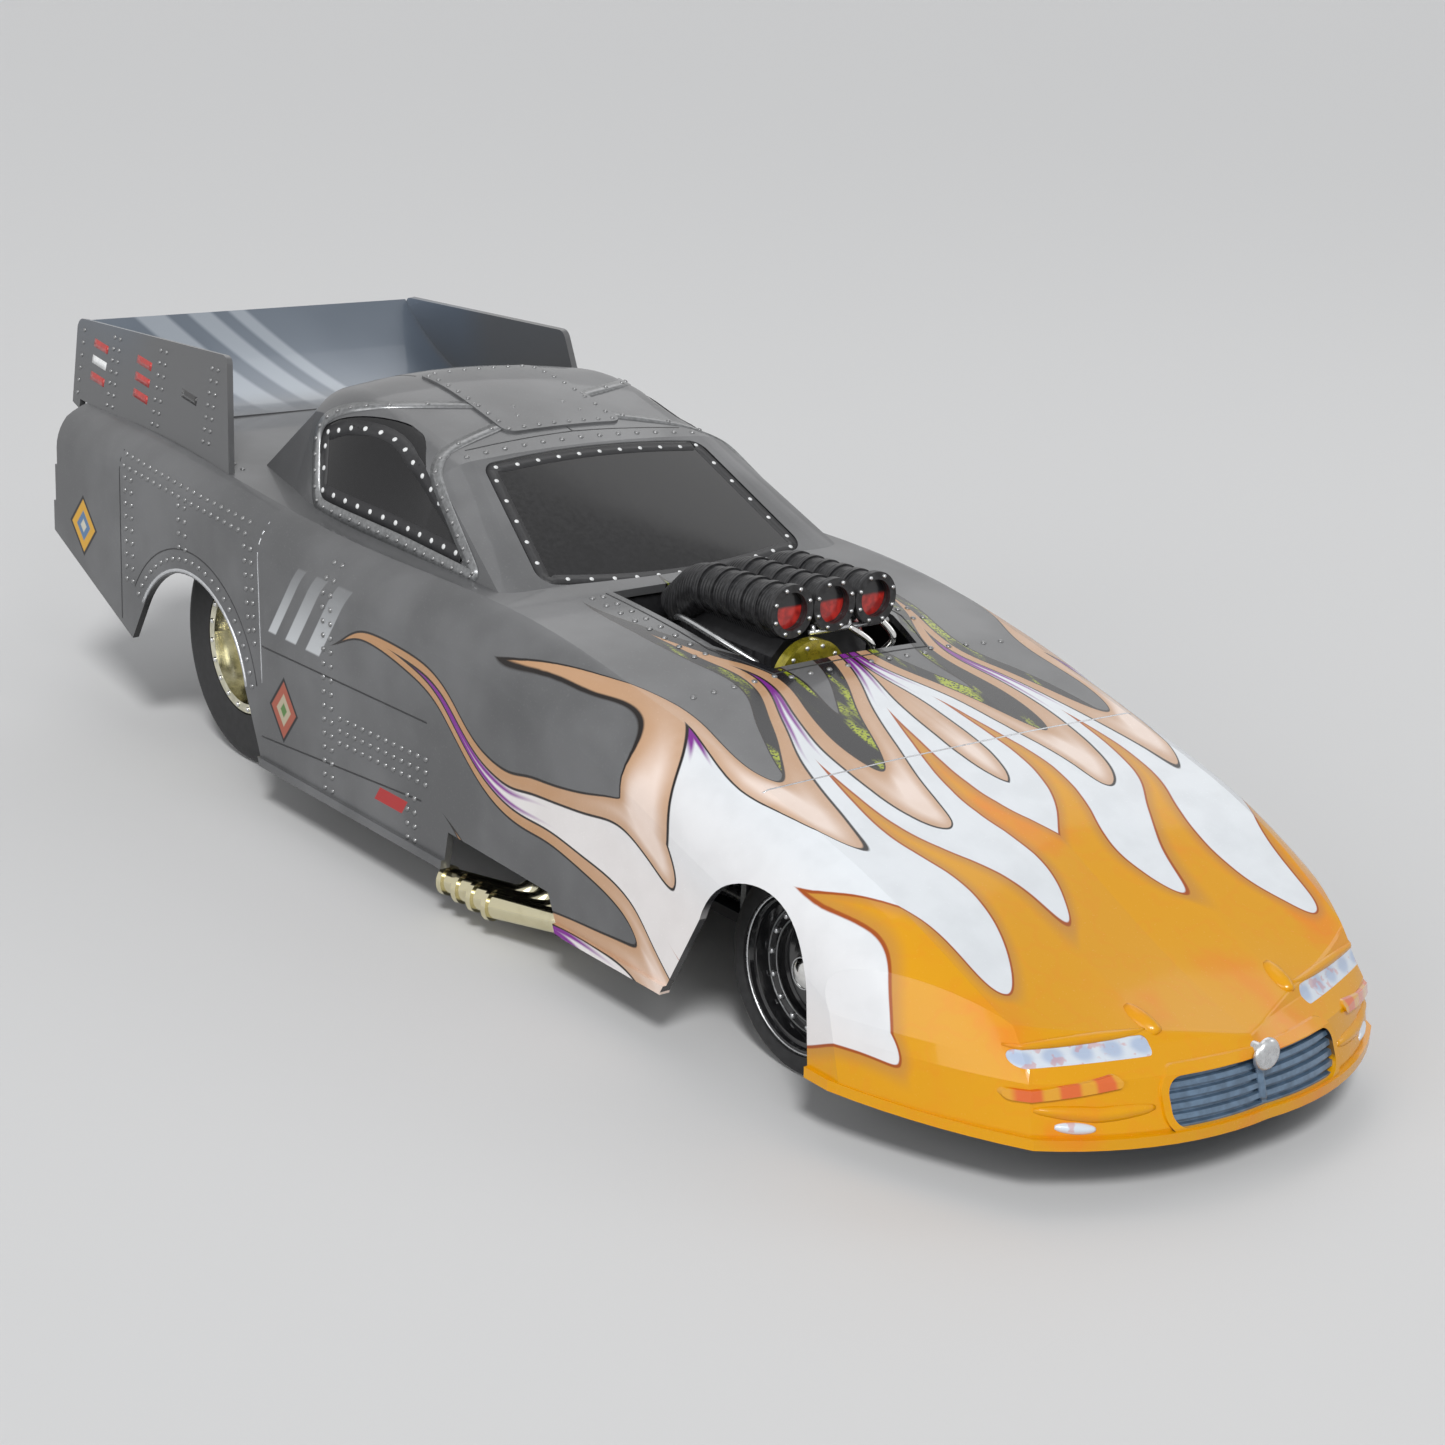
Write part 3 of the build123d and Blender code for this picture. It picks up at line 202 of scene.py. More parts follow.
class Paint:
    """A Principled material with its object coordinates in millimetres above the datum."""

    def __init__(self, name, colour, metallic=0.0, roughness=0.5, coat=0.0, **constants):
        self.material = bpy.data.materials.new(name)
        self.material.use_nodes = True
        self.tree = self.material.node_tree
        self.shader = self.tree.nodes["Principled BSDF"]
        self.shader.inputs["Base Color"].default_value = (*colour, 1.0)
        self.shader.inputs["Metallic"].default_value = metallic
        self.shader.inputs["Roughness"].default_value = roughness
        self.shader.inputs["Coat Weight"].default_value = coat
        self.shader.inputs["Coat Roughness"].default_value = 0.07
        for key, value in constants.items():
            self.shader.inputs[key.replace("_", " ")].default_value = value
        self.coordinates = self.tree.nodes.new("ShaderNodeTexCoord")
        scale = self.tree.nodes.new("ShaderNodeVectorMath")
        scale.operation = "MULTIPLY_ADD"
        scale.inputs[1].default_value = [1 / MM] * 3
        scale.inputs[2].default_value = (0.0, 0.0, -RIDE_HEIGHT)
        self.tree.links.new(self.coordinates.outputs["Object"], scale.inputs[0])
        self.place = scale.outputs[0]

    def axes(self, socket=None):
        """Fields of the three components of a vector, the place by default."""
        split = self.tree.nodes.new("ShaderNodeSeparateXYZ")
        self.tree.links.new(socket or self.place, split.inputs[0])
        return [Field(self.tree, output) for output in split.outputs]

    def noise(self, scale, detail=2.0, stretch=(1.0, 1.0, 1.0), shift=0.0):
        """Noise over the place, its scale in features a millimetre."""
        squeeze = self.tree.nodes.new("ShaderNodeVectorMath")
        squeeze.operation = "MULTIPLY_ADD"
        squeeze.inputs[1].default_value = [scale * s for s in stretch]
        squeeze.inputs[2].default_value = (shift, shift, shift)
        self.tree.links.new(self.place, squeeze.inputs[0])
        node = self.tree.nodes.new("ShaderNodeTexNoise")
        node.inputs["Scale"].default_value = 1.0
        node.inputs["Detail"].default_value = detail
        self.tree.links.new(squeeze.outputs[0], node.inputs["Vector"])
        return Field(self.tree, node.outputs[0])

    def blend(self, below, above, share):
        """Colour above laid over the colour below by a field."""
        node = self.tree.nodes.new("ShaderNodeMix")
        node.data_type = "RGBA"
        for socket, value in ((node.inputs[6], below), (node.inputs[7], above)):
            if isinstance(value, tuple):
                socket.default_value = (*value, 1.0)
            else:
                self.tree.links.new(value, socket)
        self.tree.links.new(share.socket, node.inputs[0])
        return node.outputs[2]

    def set(self, name, value):
        socket = value.socket if isinstance(value, Field) else value
        self.tree.links.new(socket, self.shader.inputs[name])

    def bump(self, height, distance, strength=0.3):
        node = self.tree.nodes.new("ShaderNodeBump")
        node.inputs["Strength"].default_value = strength
        node.inputs["Distance"].default_value = distance * MM
        self.tree.links.new(height.socket, node.inputs["Height"])
        self.tree.links.new(node.outputs[0], self.shader.inputs["Normal"])


def shaded(colour, factor):
    """Colour made darker or lighter."""
    return tuple(min(1.0, c * factor) for c in colour)


def plain(name, colour, metallic, roughness, coat=0.0, grain=1.5, change=0.12, relief=0.0, **constants):
    """Material whose colour and roughness vary a little, with a fine relief if asked for."""
    paint = Paint(name, colour, metallic, roughness, coat, **constants)
    cloud = paint.noise(grain, 4.0)
    shades = paint.blend(shaded(colour, 1 - 2 * change), shaded(colour, 1 + change), cloud.rise(0.3, 0.7))
    paint.set("Base Color", shades)
    paint.set("Roughness", cloud * 0.12 + max(0.0, roughness - 0.06))
    if relief:
        paint.bump(paint.noise(grain * 6, 3.0), relief)
    return paint.material


def licks(around, along, flame):
    """Distance ahead of a flame's edge, and how far up a lick each place is."""
    on_side = around.rise(*HOOD_TO_SIDE)
    reach = on_side * (flame.side_reach - flame.hood_reach) + flame.hood_reach
    edge = on_side * (flame.side_y - flame.hood_y) + flame.hood_y + around.wave(*EDGE_WAVE)
    sway = along.wave(*SWAY_WAVE) + (along * 0.29 + around * 0.05).op("SINE") * 0.5
    phase = (around + sway) / LICK_PITCH + LICK_SHIFT
    count = phase.op("FLOOR")
    across = (phase - count) * 2.0 - 1.0
    up = across.op("ABSOLUTE").inverse()
    uneven = count.wave(2.4, LICK_SHIFT, 0.34) + 0.84
    rise = up.power(flame.taper) * reach * uneven
    slope = up.power(flame.taper - 1.0) * reach * uneven * (2.0 * flame.taper / LICK_PITCH)
    length = (slope * slope + 1.0).op("SQRT")
    return (edge + rise - along) / length, up


def body_paint():
    """Riveted grey metal with flames in yellow, white, cream and black over the front."""
    paint = Paint("body_paint", GREY, roughness=0.35, coat=0.35, Specular_IOR_Level=0.2)
    blend, noise = paint.blend, paint.noise
    x, y, z = paint.axes()
    # Counted round the body: out to the fender's crease, then on down the side
    crease_z = y.rise(*CREASE_Y) * CREASE_RISE + CREASE_LOW
    around = x.op("ABSOLUTE") + (crease_z - z).op("MAXIMUM", 0.0)
    drift = noise(0.05, 1.0, shift=4.0)
    along = y + (drift - 0.5) * 6.0

    speckle = noise(3.0, 3.0)
    cloud = noise(0.06, 3.0, shift=9.0)
    grey = blend(shaded(GREY, 0.82), shaded(GREY, 1.18), cloud.rise(0.3, 0.7))
    grey = blend(grey, shaded(GREY, 1.5), speckle.rise(0.58, 0.72) * 0.25)

    streak = noise(0.34, 3.0, stretch=(1.0, 0.2, 0.6), shift=2.0).rise(0.50, 0.62)
    fleck = noise(3.0, 2.0).rise(0.36, 0.52)
    dark = blend(BLACK, GREEN, streak * fleck)

    # The flames are nested: one set of licks, each colour's edge further forward
    dark_edge, _ = licks(around, along, DARK_FLAME)
    dark_edge = dark_edge.op("MINIMUM", around * -1.0 + DARK_LIMIT)
    cream_edge, _ = licks(around, along, CREAM_FLAME)
    white_edge, white_up = licks(around, along, WHITE_FLAME)
    yellow_edge, _ = licks(around, along, YELLOW_FLAME)

    shade = noise(0.22, 3.0, shift=6.0).rise(0.35, 0.7)
    cream = blend(CREAM, TAN, cream_edge.rise(2.8, 0.1) * 0.75)
    cream = blend(cream, TAN, white_edge.rise(-3.4, -0.2) * 0.6 + shade * 0.1)
    white = blend(WHITE, shaded(WHITE, 0.8), shade * 0.3)
    white = blend(white, CREAM, around.rise(30.0, 46.0) * 0.35)
    white = blend(white, PURPLE, white_up.rise(0.82, 0.93) * white_edge.rise(0.9, 0.5))
    mottle = noise(0.08, 3.0, stretch=(1.0, 0.7, 1.0), shift=1.0).rise(0.52, 0.74)
    ring = noise(0.2, 2.0, shift=3.0).band(0.55, 0.01, 0.04)
    yellow = blend(YELLOW, ORANGE, mottle * 0.6 + ring * 0.10)
    yellow = blend(yellow, TAN, yellow_edge.rise(1.6, 0.1) * 0.55)

    # Plain pale bars on the door, blank badges and a plain red label
    slant = y + (z - BARS_Z) * BARS_LEAN
    upright = z.band(BARS_Z, BARS_HALF_HEIGHT, 0.4)
    bars = most([slant.band(middle, half, 0.3) * upright for middle, half in DOOR_BARS])
    colour = blend(grey, PALE_BAR, bars * z.rise(38.0, 20.0))
    for badge_y, badge_z, half_y, half_z, fills in BADGES:
        spread = (y - badge_y).op("ABSOLUTE") / half_y + (z - badge_z).op("ABSOLUTE") / half_z
        for share, fill in zip(BADGE_SHARES, fills):
            colour = blend(colour, fill, spread.rise(share + 0.04, share - 0.04))
    label = slant.band(-5.2, 3.4, 0.15) * z.band(6.9, 1.0, 0.1)
    colour = blend(colour, LABEL_RED, label)

    painted = []
    for edge, fill, outline in ((dark_edge, dark, INK), (cream_edge, cream, INK), (white_edge, white, INK),
                                (yellow_edge, yellow, YELLOW_INK)):
        painted.append(edge.rise(-2 * LINE_WIDTH, -LINE_WIDTH))
        colour = blend(colour, outline, painted[-1])
        colour = blend(colour, fill, edge.rise(0.0, LINE_WIDTH))

    # The inner faces of the shell stay dark, told by a normal that points back to the middle
    normal_x, normal_y, normal_z = paint.axes(paint.coordinates.outputs["Normal"])
    towards_end = (y / 114.0).power(5.0)
    outward = normal_x * x / 38.0 + normal_z + normal_y * towards_end
    inner = outward.rise(-0.1, -0.5)
    paint.set("Base Color", blend(colour, INSIDE_GREY, inner))
    bare = most(painted).inverse() * inner.inverse()
    paint.set("Metallic", bare * 0.35)
    paint.set("Roughness", bare * 0.16 + 0.24 + speckle * 0.05)
    return paint.material


def lamp_glass():
    """Pale lens with faint blue and red ovals."""
    headlight_x, headlight_z = 21.2, 10.7
    oval_pitch, oval_half_height = 3.6, 0.8
    paint = Paint("lamp_glass", (0.62, 0.70, 0.80), roughness=0.12, coat=1.0)
    x, _, z = paint.axes()
    across = (x.op("ABSOLUTE") - headlight_x) / oval_pitch
    height = (z - headlight_z) / oval_half_height
    spread = (across - across.op("ROUND")) * 2.6
    ovals = (spread * spread + height * height).op("SQRT")
    mist = paint.noise(0.7, 2.0)
    colour = paint.blend((0.62, 0.68, 0.75), (0.22, 0.33, 0.56), ovals.rise(1.25, 0.5) * 0.55)
    colour = paint.blend(colour, (0.56, 0.16, 0.14), mist.rise(0.56, 0.64) * 0.45)
    paint.set("Base Color", colour)
    return paint.material


def marker_paint():
    """Yellow bar with three orange-red segments."""
    first_x, segment_pitch = 19.0, 3.9
    paint = Paint("marker_paint", ORANGE, roughness=0.2, coat=1.0)
    steps = (paint.axes()[0].op("ABSOLUTE") - first_x) / segment_pitch
    part = steps - steps.op("FLOOR")
    paint.set("Base Color", paint.blend(YELLOW, (0.66, 0.11, 0.006), part.band(0.5, 0.2, 0.16)))
    return paint.material


def wing_paint():
    """Blue-grey metal on the blade, with three pale slanted bars, and grey on the end plates."""
    paint = Paint("wing_paint", GREY, metallic=0.5, roughness=0.38, coat=0.4)
    x, y, z = paint.axes()
    cloud = paint.noise(0.03, 2.0)
    blue = paint.blend((0.11, 0.135, 0.17), (0.16, 0.19, 0.23), cloud.rise(0.3, 0.7))
    inboard = x.op("ABSOLUTE").rise(33.0, 30.0)
    slant = x + (z - 46.0) * 0.9
    for middle, half in ((-11.0, 2.2), (-2.0, 1.6), (5.0, 1.0)):
        blue = paint.blend(blue, (0.46, 0.50, 0.55), slant.band(middle, half, 1.2) * 0.6)
    paint.set("Base Color", paint.blend(shaded(GREY, 0.95), blue, y.rise(88.0, 100.0) * inboard))
    return paint.material


def butterfly_paint():
    """Red in the lower half of each barrel and black above."""
    paint = Paint("butterfly_paint", (0.45, 0.02, 0.02), roughness=0.3, coat=0.5)
    cloud = paint.noise(1.0, 2.0)
    red = paint.blend((0.30, 0.012, 0.01), (0.62, 0.03, 0.02), cloud.rise(0.3, 0.7))
    paint.set("Base Color", paint.blend(red, BLACK, paint.axes()[2].rise(41.5, 42.0)))
    return paint.material


def ribbed_black():
    """Black moulding with fine crossed ribs."""
    paint = Paint("ribbed_black", (0.016, 0.016, 0.018), roughness=0.42)
    x, y, _ = paint.axes()
    turn = math.tau / 1.1
    ribs = ((y + x * 0.35) * turn).op("SINE")
    cross = ((y - x * 0.35) * turn).op("SINE")
    paint.bump(ribs * cross, 0.12, 0.5)
    cloud = paint.noise(1.2, 3.0)
    paint.set("Base Color", paint.blend((0.010, 0.010, 0.011), (0.028, 0.028, 0.03), cloud.rise(0.3, 0.7)))
    return paint.material


def woven(name, colour, pitch=0.5):
    """Woven nylon, its colour darker in the weave's hollows and lighter on its raised threads as painted
    shade and highlight.
    """
    paint = Paint(name, colour, roughness=0.8)
    x, y, z = paint.axes()
    turn = math.tau / pitch
    weave = ((x + z) * turn).op("SINE") * ((y - z) * turn).op("SINE")
    paint.bump(weave, 0.05, 0.5)
    # Colour follows the weave's height: painted shade in its hollows and painted highlight on its raised
    # threads
    paint.set("Base Color", paint.blend(shaded(colour, 0.6), shaded(colour, 1.5), weave.rise(-1.0, 1.0)))
    return paint.material


def header_chrome():
    """Bright pale metal that turns gold low down where it is hot."""
    paint = Paint("header_chrome", (0.8, 0.8, 0.76), metallic=1.0, roughness=0.16)
    heat = paint.axes()[2].rise(11.0, -1.0)
    stain = paint.noise(0.5, 3.0)
    colour = paint.blend((0.86, 0.87, 0.84), (0.78, 0.71, 0.45), heat * 0.9)
    paint.set("Base Color", paint.blend(colour, (0.62, 0.55, 0.34), stain.rise(0.5, 0.75) * 0.35))
    paint.set("Roughness", stain * 0.1 + 0.1)
    return paint.material


MATERIALS = {
    "body": body_paint(),
    "wing": wing_paint(),
    "lens": lamp_glass(),
    "marker": marker_paint(),
    "butterfly": butterfly_paint(),
    "headers": header_chrome(),
    "glass": plain("dark_glass", (0.012, 0.012, 0.014), 0.0, 0.07, change=0.1, Transmission_Weight=0.4,
                   IOR=1.45),
    "grille": plain("grille_paint", (0.12, 0.19, 0.28), 0.3, 0.34, coat=0.5, grain=0.8),
    "chrome": plain("chrome", (0.82, 0.82, 0.80), 1.0, 0.14, change=0.05),
    "gold_chrome": plain("gold_chrome", (0.80, 0.77, 0.60), 1.0, 0.16, change=0.1, grain=0.6),
    "gold": plain("gold_paint", (0.42, 0.36, 0.03), 0.6, 0.28, coat=0.6, grain=1.2),
    "silver": plain("silver", (0.62, 0.63, 0.64), 0.9, 0.28, change=0.06),
    "steel": plain("steel_rivet", (0.24, 0.242, 0.245), 0.7, 0.3, coat=0.3, change=0.08),
    "frame": plain("frame_black", (0.022, 0.022, 0.024), 0.0, 0.28, coat=0.6),
    "black": plain("black_plastic", (0.020, 0.020, 0.022), 0.0, 0.5, relief=0.02),
    "gloss": plain("black_gloss", (0.012, 0.012, 0.013), 0.0, 0.14, coat=0.8),
    "tyre": plain("tyre_rubber", (0.017, 0.017, 0.018), 0.0, 0.6, grain=0.9, change=0.2, relief=0.03),
    "ribbed": ribbed_black(),
    "cast": plain("cast_alloy", (0.30, 0.305, 0.31), 0.85, 0.42, grain=2.5, relief=0.03),
    "cover": plain("valve_cover", (0.55, 0.05, 0.03), 0.2, 0.3, coat=0.7),
    "white": plain("white_dot", (0.75, 0.76, 0.76), 0.0, 0.35, change=0.05),
    "seam": plain("seam_dark", (0.03, 0.03, 0.032), 0.2, 0.4),
    # Pale metallic strip laid on seams and edges as a painted highlight
    "painted_highlight": plain("painted_highlight_line", (0.62, 0.63, 0.65), 0.7, 0.25, change=0.05),
    "pale_band": plain("pale_band", (0.23, 0.235, 0.24), 0.6, 0.32, coat=0.4),
    "red": plain("red_plastic", (0.45, 0.02, 0.015), 0.0, 0.3, coat=0.6),
    "pack": woven("pack_nylon", (0.02, 0.02, 0.024)),
    "strap": woven("strap_web", (0.30, 0.03, 0.02), 0.35),
    "seat": plain("seat_vinyl", (0.025, 0.025, 0.028), 0.0, 0.55, grain=2.0, relief=0.05),
}

NODES_BY_LOOK = {
    "body": "body_shell roof_hatch",
    "wing": "spill_plate_left spill_plate_right spoiler_blade",
    "glass": "windshield side_window_left side_window_right",
    "lens": "headlight_left headlight_right",
    "marker": "marker_lamps",
    "grille": "grille",
    "silver": "nose_knob hinge_bracket_left hinge_bracket_right front_axle rear_axle_shaft fuel_tank",
    "frame": "frame_rails roll_cage",
    "black": "floor_pan steering_yoke blower",
    "cast": "rear_axle_housing firewall engine_block",
    "chrome": "hinge_pin wheelie_bar",
    "seat": "seat",
    "pack": "parachute_pack_left parachute_pack_right",
    "cover": "valve_cover_left valve_cover_right",
    "gold": "belt_guard",
    "ribbed": "injector_hat",
    "butterfly": "butterflies",
    "headers": "header_left header_right",
    "tyre": "front_tyre_left front_tyre_right rear_tyre_left rear_tyre_right",
    "gloss": "front_rim_left front_rim_right",
    "gold_chrome": "rear_rim_left rear_rim_right",
}
for look, look_nodes in NODES_BY_LOOK.items():
    for node_name in look_nodes.split():
        for material_slot in nodes[node_name].material_slots:
            material_slot.material = MATERIALS[look]


# Mesh helpers

def add_piece(name, vertices, faces, material, body, smooth=True):
    """Mesh piece from points in metres that rides on a body."""
    mesh = bpy.data.meshes.new(name)
    mesh.from_pydata([tuple(v) for v in vertices], [], faces)
    mesh.update()
    for polygon in mesh.polygons:
        polygon.use_smooth = smooth
    mesh.materials.append(MATERIALS[material])
    piece = bpy.data.objects.new(name, mesh)
    scene.collection.objects.link(piece)
    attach(piece, body)
    return piece


# Distances from which the surfaces are seen
BESIDE = 80.0
ABOVE = 100.0
AHEAD = 140.0


@cache
def surface_of(name):
    """Search tree of a node's faces."""
    mesh = nodes[name].data
    return BVHTree.FromPolygons([v.co for v in mesh.vertices], [tuple(p.vertices) for p in mesh.polygons])


def cast(target, start, direction):
    """First point of a node's surface on a line, and its normal, in metres."""
    point, normal, _, _ = surface_of(target).ray_cast(Vector(start), Vector(direction))
    if point is None:
        return None
    if normal.dot(Vector(direction)) > 0:
        normal = -normal
    return point, normal


def from_side(target, side, y, z):
    """Spot of a surface seen from the left, side 1, or from the right, side -1."""
    return cast(target, (side * BESIDE * MM, y * MM, (z + RIDE_HEIGHT) * MM), (-side, 0, 0))


def from_above(target, x, y):
    return cast(target, (x * MM, y * MM, ABOVE * MM), (0, 0, -1))


def from_front(target, x, z):
    return cast(target, (x * MM, -AHEAD * MM, (z + RIDE_HEIGHT) * MM), (0, 1, 0))


def walk(points, pitch, closed=False):
    """Points along a line at an even pitch in millimetres."""
    points = [Vector(p) for p in points]
    if closed:
        points.append(points[0])
    lengths = [(b - a).length for a, b in zip(points, points[1:])]
    total = sum(lengths)
    count = max(1, round(total / pitch))
    found = []
    for i in range(count if closed else count + 1):
        left = min(total * i / count, total - 1e-6)
        for (a, b), length in zip(zip(points, points[1:]), lengths):
            if left <= length:
                found.append(a + (b - a) * left / length)
                break
            left -= length
    return found


def arc(start, middle, end, steps=24):
    """Points on the arc through three points of a plane."""
    (ax, ay), (bx, by), (cx, cy) = start, middle, end
    d = 2 * (ax * (by - cy) + bx * (cy - ay) + cx * (ay - by))
    ux = ((ax**2 + ay**2) * (by - cy) + (bx**2 + by**2) * (cy - ay) + (cx**2 + cy**2) * (ay - by)) / d
    uy = ((ax**2 + ay**2) * (cx - bx) + (bx**2 + by**2) * (ax - cx) + (cx**2 + cy**2) * (bx - ax)) / d
    radius = math.hypot(ax - ux, ay - uy)
    first = math.atan2(ay - uy, ax - ux)
    mid = math.atan2(by - uy, bx - ux)
    last = math.atan2(cy - uy, cx - ux)
    onward = (mid - first) % math.tau < (last - first) % math.tau
    sweep = (last - first) % math.tau if onward else -((first - last) % math.tau)
    angles = [first + sweep * i / steps for i in range(steps + 1)]
    return [(ux + radius * math.cos(angle), uy + radius * math.sin(angle)) for angle in angles]


def grown(points, distance, closed=True):
    """Outline moved outwards, away from its own middle."""
    points = [Vector(p) for p in points]
    middle = sum(points, Vector((0, 0))) / len(points)
    moved = []
    count = len(points)
    for i, point in enumerate(points):
        before = points[i - 1] if closed or i else point
        after = points[(i + 1) % count] if closed or i + 1 < count else point
        run = (after - before).normalized()
        out = Vector((run.y, -run.x))
        if out.dot(point - middle) < 0:
            out = -out
        moved.append(point + out * distance)
    return moved


def over_datum(x, y, z):
    """Point in millimetres from the floor, from one whose height counts from the datum."""
    return Vector((x, y, z + RIDE_HEIGHT))


def laid(view, points, pitch, side=1, target="body_shell", closed=False):
    """Surface spots at an even pitch under a plane line seen from the side, from above or in front."""
    spots = []
    for a, b in walk(points, pitch, closed):
        if view == "side":
            spots.append(from_side(target, side, a, b))
        elif view == "above":
            spots.append(from_above(target, side * a, b))
        else:
            spots.append(from_front(target, side * a, b))
    return [spot for spot in spots if spot]


def rivets(name, spots, radius, height, material="steel", body="flip_body", sides=8):
    """Small domes on a surface, joined in one mesh."""
    vertices, faces = [], []
    for point, normal in spots:
        across = normal.orthogonal().normalized()
        up = normal.cross(across)
        start = len(vertices)
        for ring_radius, lift in ((1.0, -0.15), (0.92, 0.45), (0.6, 0.85)):
            for i in range(sides):
                turn = math.tau * i / sides
                spoke = across * math.cos(turn) + up * math.sin(turn)
                vertices.append(point + (spoke * radius * ring_radius + normal * height * lift) * MM)
        vertices.append(point + normal * height * MM)
        for ring in range(2):
            for i in range(sides):
                a, b = start + ring * sides + i, start + ring * sides + (i + 1) % sides
                faces.append((a, b, b + sides, a + sides))
        for i in range(sides):
            faces.append((start + 2 * sides + i, start + 2 * sides + (i + 1) % sides, start + 3 * sides))
    add_piece(name, vertices, faces, material, body)


FOOT_DEPTH = 0.25


def softened(spots, passes=6):
    """Closed run of spots with its places and normals evened out along the run."""
    for _ in range(passes):
        count = len(spots)
        spots = [((spots[i - 1][0] + spots[i][0] * 2 + spots[(i + 1) % count][0]) / 4,
                  (spots[i - 1][1] + spots[i][1] * 2 + spots[(i + 1) % count][1]).normalized())
                 for i in range(count)]
    return spots


def ribbon(name, spots, width, lift, material, body="flip_body", closed=False, crown=0.0,
           taper=False):
    """Thin strip laid along surface spots, with its edges let into the surface.

    A crown rounds it across, and a tapered one also narrows and sinks at both ends."""
    vertices, faces = [], []
    count = len(spots)
    # Across the strip: share of half the width, and share of the crown or None for a foot
    if crown:
        arch = [(k / 4 - 1.0, math.cos((k / 4 - 1.0) * math.pi / 2)) for k in range(9)]
    else:
        arch = [(-1.0, 0.0), (1.0, 0.0)]
    section = [(-1.0, None), *arch, (1.0, None)]
    for i, (point, normal) in enumerate(spots):
        for k in (-2, -1, 1, 2):
            normal = normal + spots[(i + k) % count if closed else min(max(i + k, 0), count - 1)][1]
        normal = normal.normalized()
        before = spots[i - 1][0] if closed or i else point
        after = spots[(i + 1) % count][0] if closed or i + 1 < count else point
        run = (after - before).normalized()
        size = max(0.05, math.sin(math.pi * (i + 0.3) / (count - 0.4)) ** 0.4) if taper else 1.0
        out = normal.cross(run).normalized() * width / 2 * size * MM
        for share, rise in section:
            height = -FOOT_DEPTH if rise is None else lift + crown * rise * size
            vertices.append(point + out * share + normal * height * MM)
    wide = len(section)
    last = count if closed else count - 1
    for i in range(last):
        a, b = wide * i, wide * ((i + 1) % count)
        faces += [(a + k, a + k + 1, b + k + 1, b + k) for k in range(wide - 1)]
    if not closed:
        faces += [tuple(reversed(range(wide))), tuple(wide * (count - 1) + k for k in range(wide))]
    add_piece(name, vertices, faces, material, body)


def lathe(name, profile, centre, axis, material, body, sides=24, copies=(0.0,), offset=0.0,
          hollow=False):
    """Profile of (radius, distance along the axis) turned round, with copies round a circle.

    The centre counts from the floor. A hollow one is a ring: its profile closes on itself."""
    axis = Vector(axis).normalized()
    across = axis.orthogonal().normalized()
    up = axis.cross(across)
    vertices, faces = [], []
    for copy in copies:
        spot = Vector(centre) + (across * math.cos(copy) + up * math.sin(copy)) * offset
        start = len(vertices)
        for radius, along in profile:
            for i in range(sides):
                turn = math.tau * i / sides
                spoke = across * math.cos(turn) + up * math.sin(turn)
                vertices.append((spot + spoke * radius + axis * along) * MM)
        rings = len(profile)
        for ring in range(rings if hollow else rings - 1):
            near, far = start + ring * sides, start + (ring + 1) % rings * sides
            for i in range(sides):
                j = (i + 1) % sides
                faces.append((near + i, near + j, far + j, far + i))
        if not hollow:
            faces.append(tuple(start + i for i in reversed(range(sides))))
            faces.append(tuple(start + (rings - 1) * sides + i for i in range(sides)))
    add_piece(name, vertices, faces, material, body)


def rod(name, points, radius, material, sides=8):
    """Round bar of the chassis, on a smooth line through points above the datum."""
    corners = [over_datum(*point) for point in points]
    points = [corners[0]]
    for i in range(len(corners) - 1):
        a, b = corners[i], corners[i + 1]
        leave = (b - corners[max(0, i - 1)]) / 2
        arrive = (corners[min(len(corners) - 1, i + 2)] - a) / 2
        steps = 1 if len(corners) == 2 else 8
        for k in range(1, steps + 1):
            t = k / steps
            points.append(a * (2 * t**3 - 3 * t**2 + 1) + leave * (t**3 - 2 * t**2 + t)
                          + b * (3 * t**2 - 2 * t**3) + arrive * (t**3 - t**2))
    vertices, faces = [], []
    for i, point in enumerate(points):
        before = points[max(0, i - 1)]
        after = points[min(len(points) - 1, i + 1)]
        run = (after - before).normalized()
        across = run.cross(Vector((0.31, 0.22, 0.93))).normalized()
        up = run.cross(across)
        for k in range(sides):
            turn = math.tau * k / sides
            vertices.append((point + (across * math.cos(turn) + up * math.sin(turn)) * radius) * MM)
    for i in range(len(points) - 1):
        for k in range(sides):
            a, b = i * sides + k, i * sides + (k + 1) % sides
            faces.append((a, b, b + sides, a + sides))
    faces.append(tuple(reversed(range(sides))))
    faces.append(tuple((len(points) - 1) * sides + k for k in range(sides)))
    add_piece(name, vertices, faces, material, "chassis")


# Rivet rows and seams on the shell's sides, as (y, z) runs

SIDE_RIVET_ROWS = (
    ((87.0, 39.2), (50.0, 36.8)), ((87.0, 37.4), (50.0, 35.2)), ((86.6, 35.6), (86.4, 19.5)),
    ((84.6, 35.6), (84.4, 19.5)), ((69.6, 35.0), (69.4, 28.6)), ((67.6, 35.0), (67.4, 28.6)),
    ((49.8, 33.4), (48.4, 21.0)), ((47.9, 33.4), (46.7, 19.5)), ((28.0, 36.0), (26.8, 3.4)),
    ((26.0, 36.0), (24.8, 3.4)), ((23.0, 14.8), (1.0, 15.4)), ((23.0, 13.0), (1.0, 13.6)),
    ((23.0, 11.2), (1.0, 11.8)), ((5.4, 9.0), (5.2, 3.0)), ((3.6, 9.0), (3.4, 3.0)),
)
RIVET_PITCH = 2.0
RIVET_RADIUS = 0.42
RIVET_HEIGHT = 0.26
SIDE_SEAMS = (
    ((46.2, 37.6), (45.2, 22.0), (44.6, 14.0)),
    ((44.6, 19.6), (1.0, 20.6)),
    ((44.6, 5.8), (2.0, 9.2)),
    ((88.4, 39.6), (88.2, 12.6)),
)
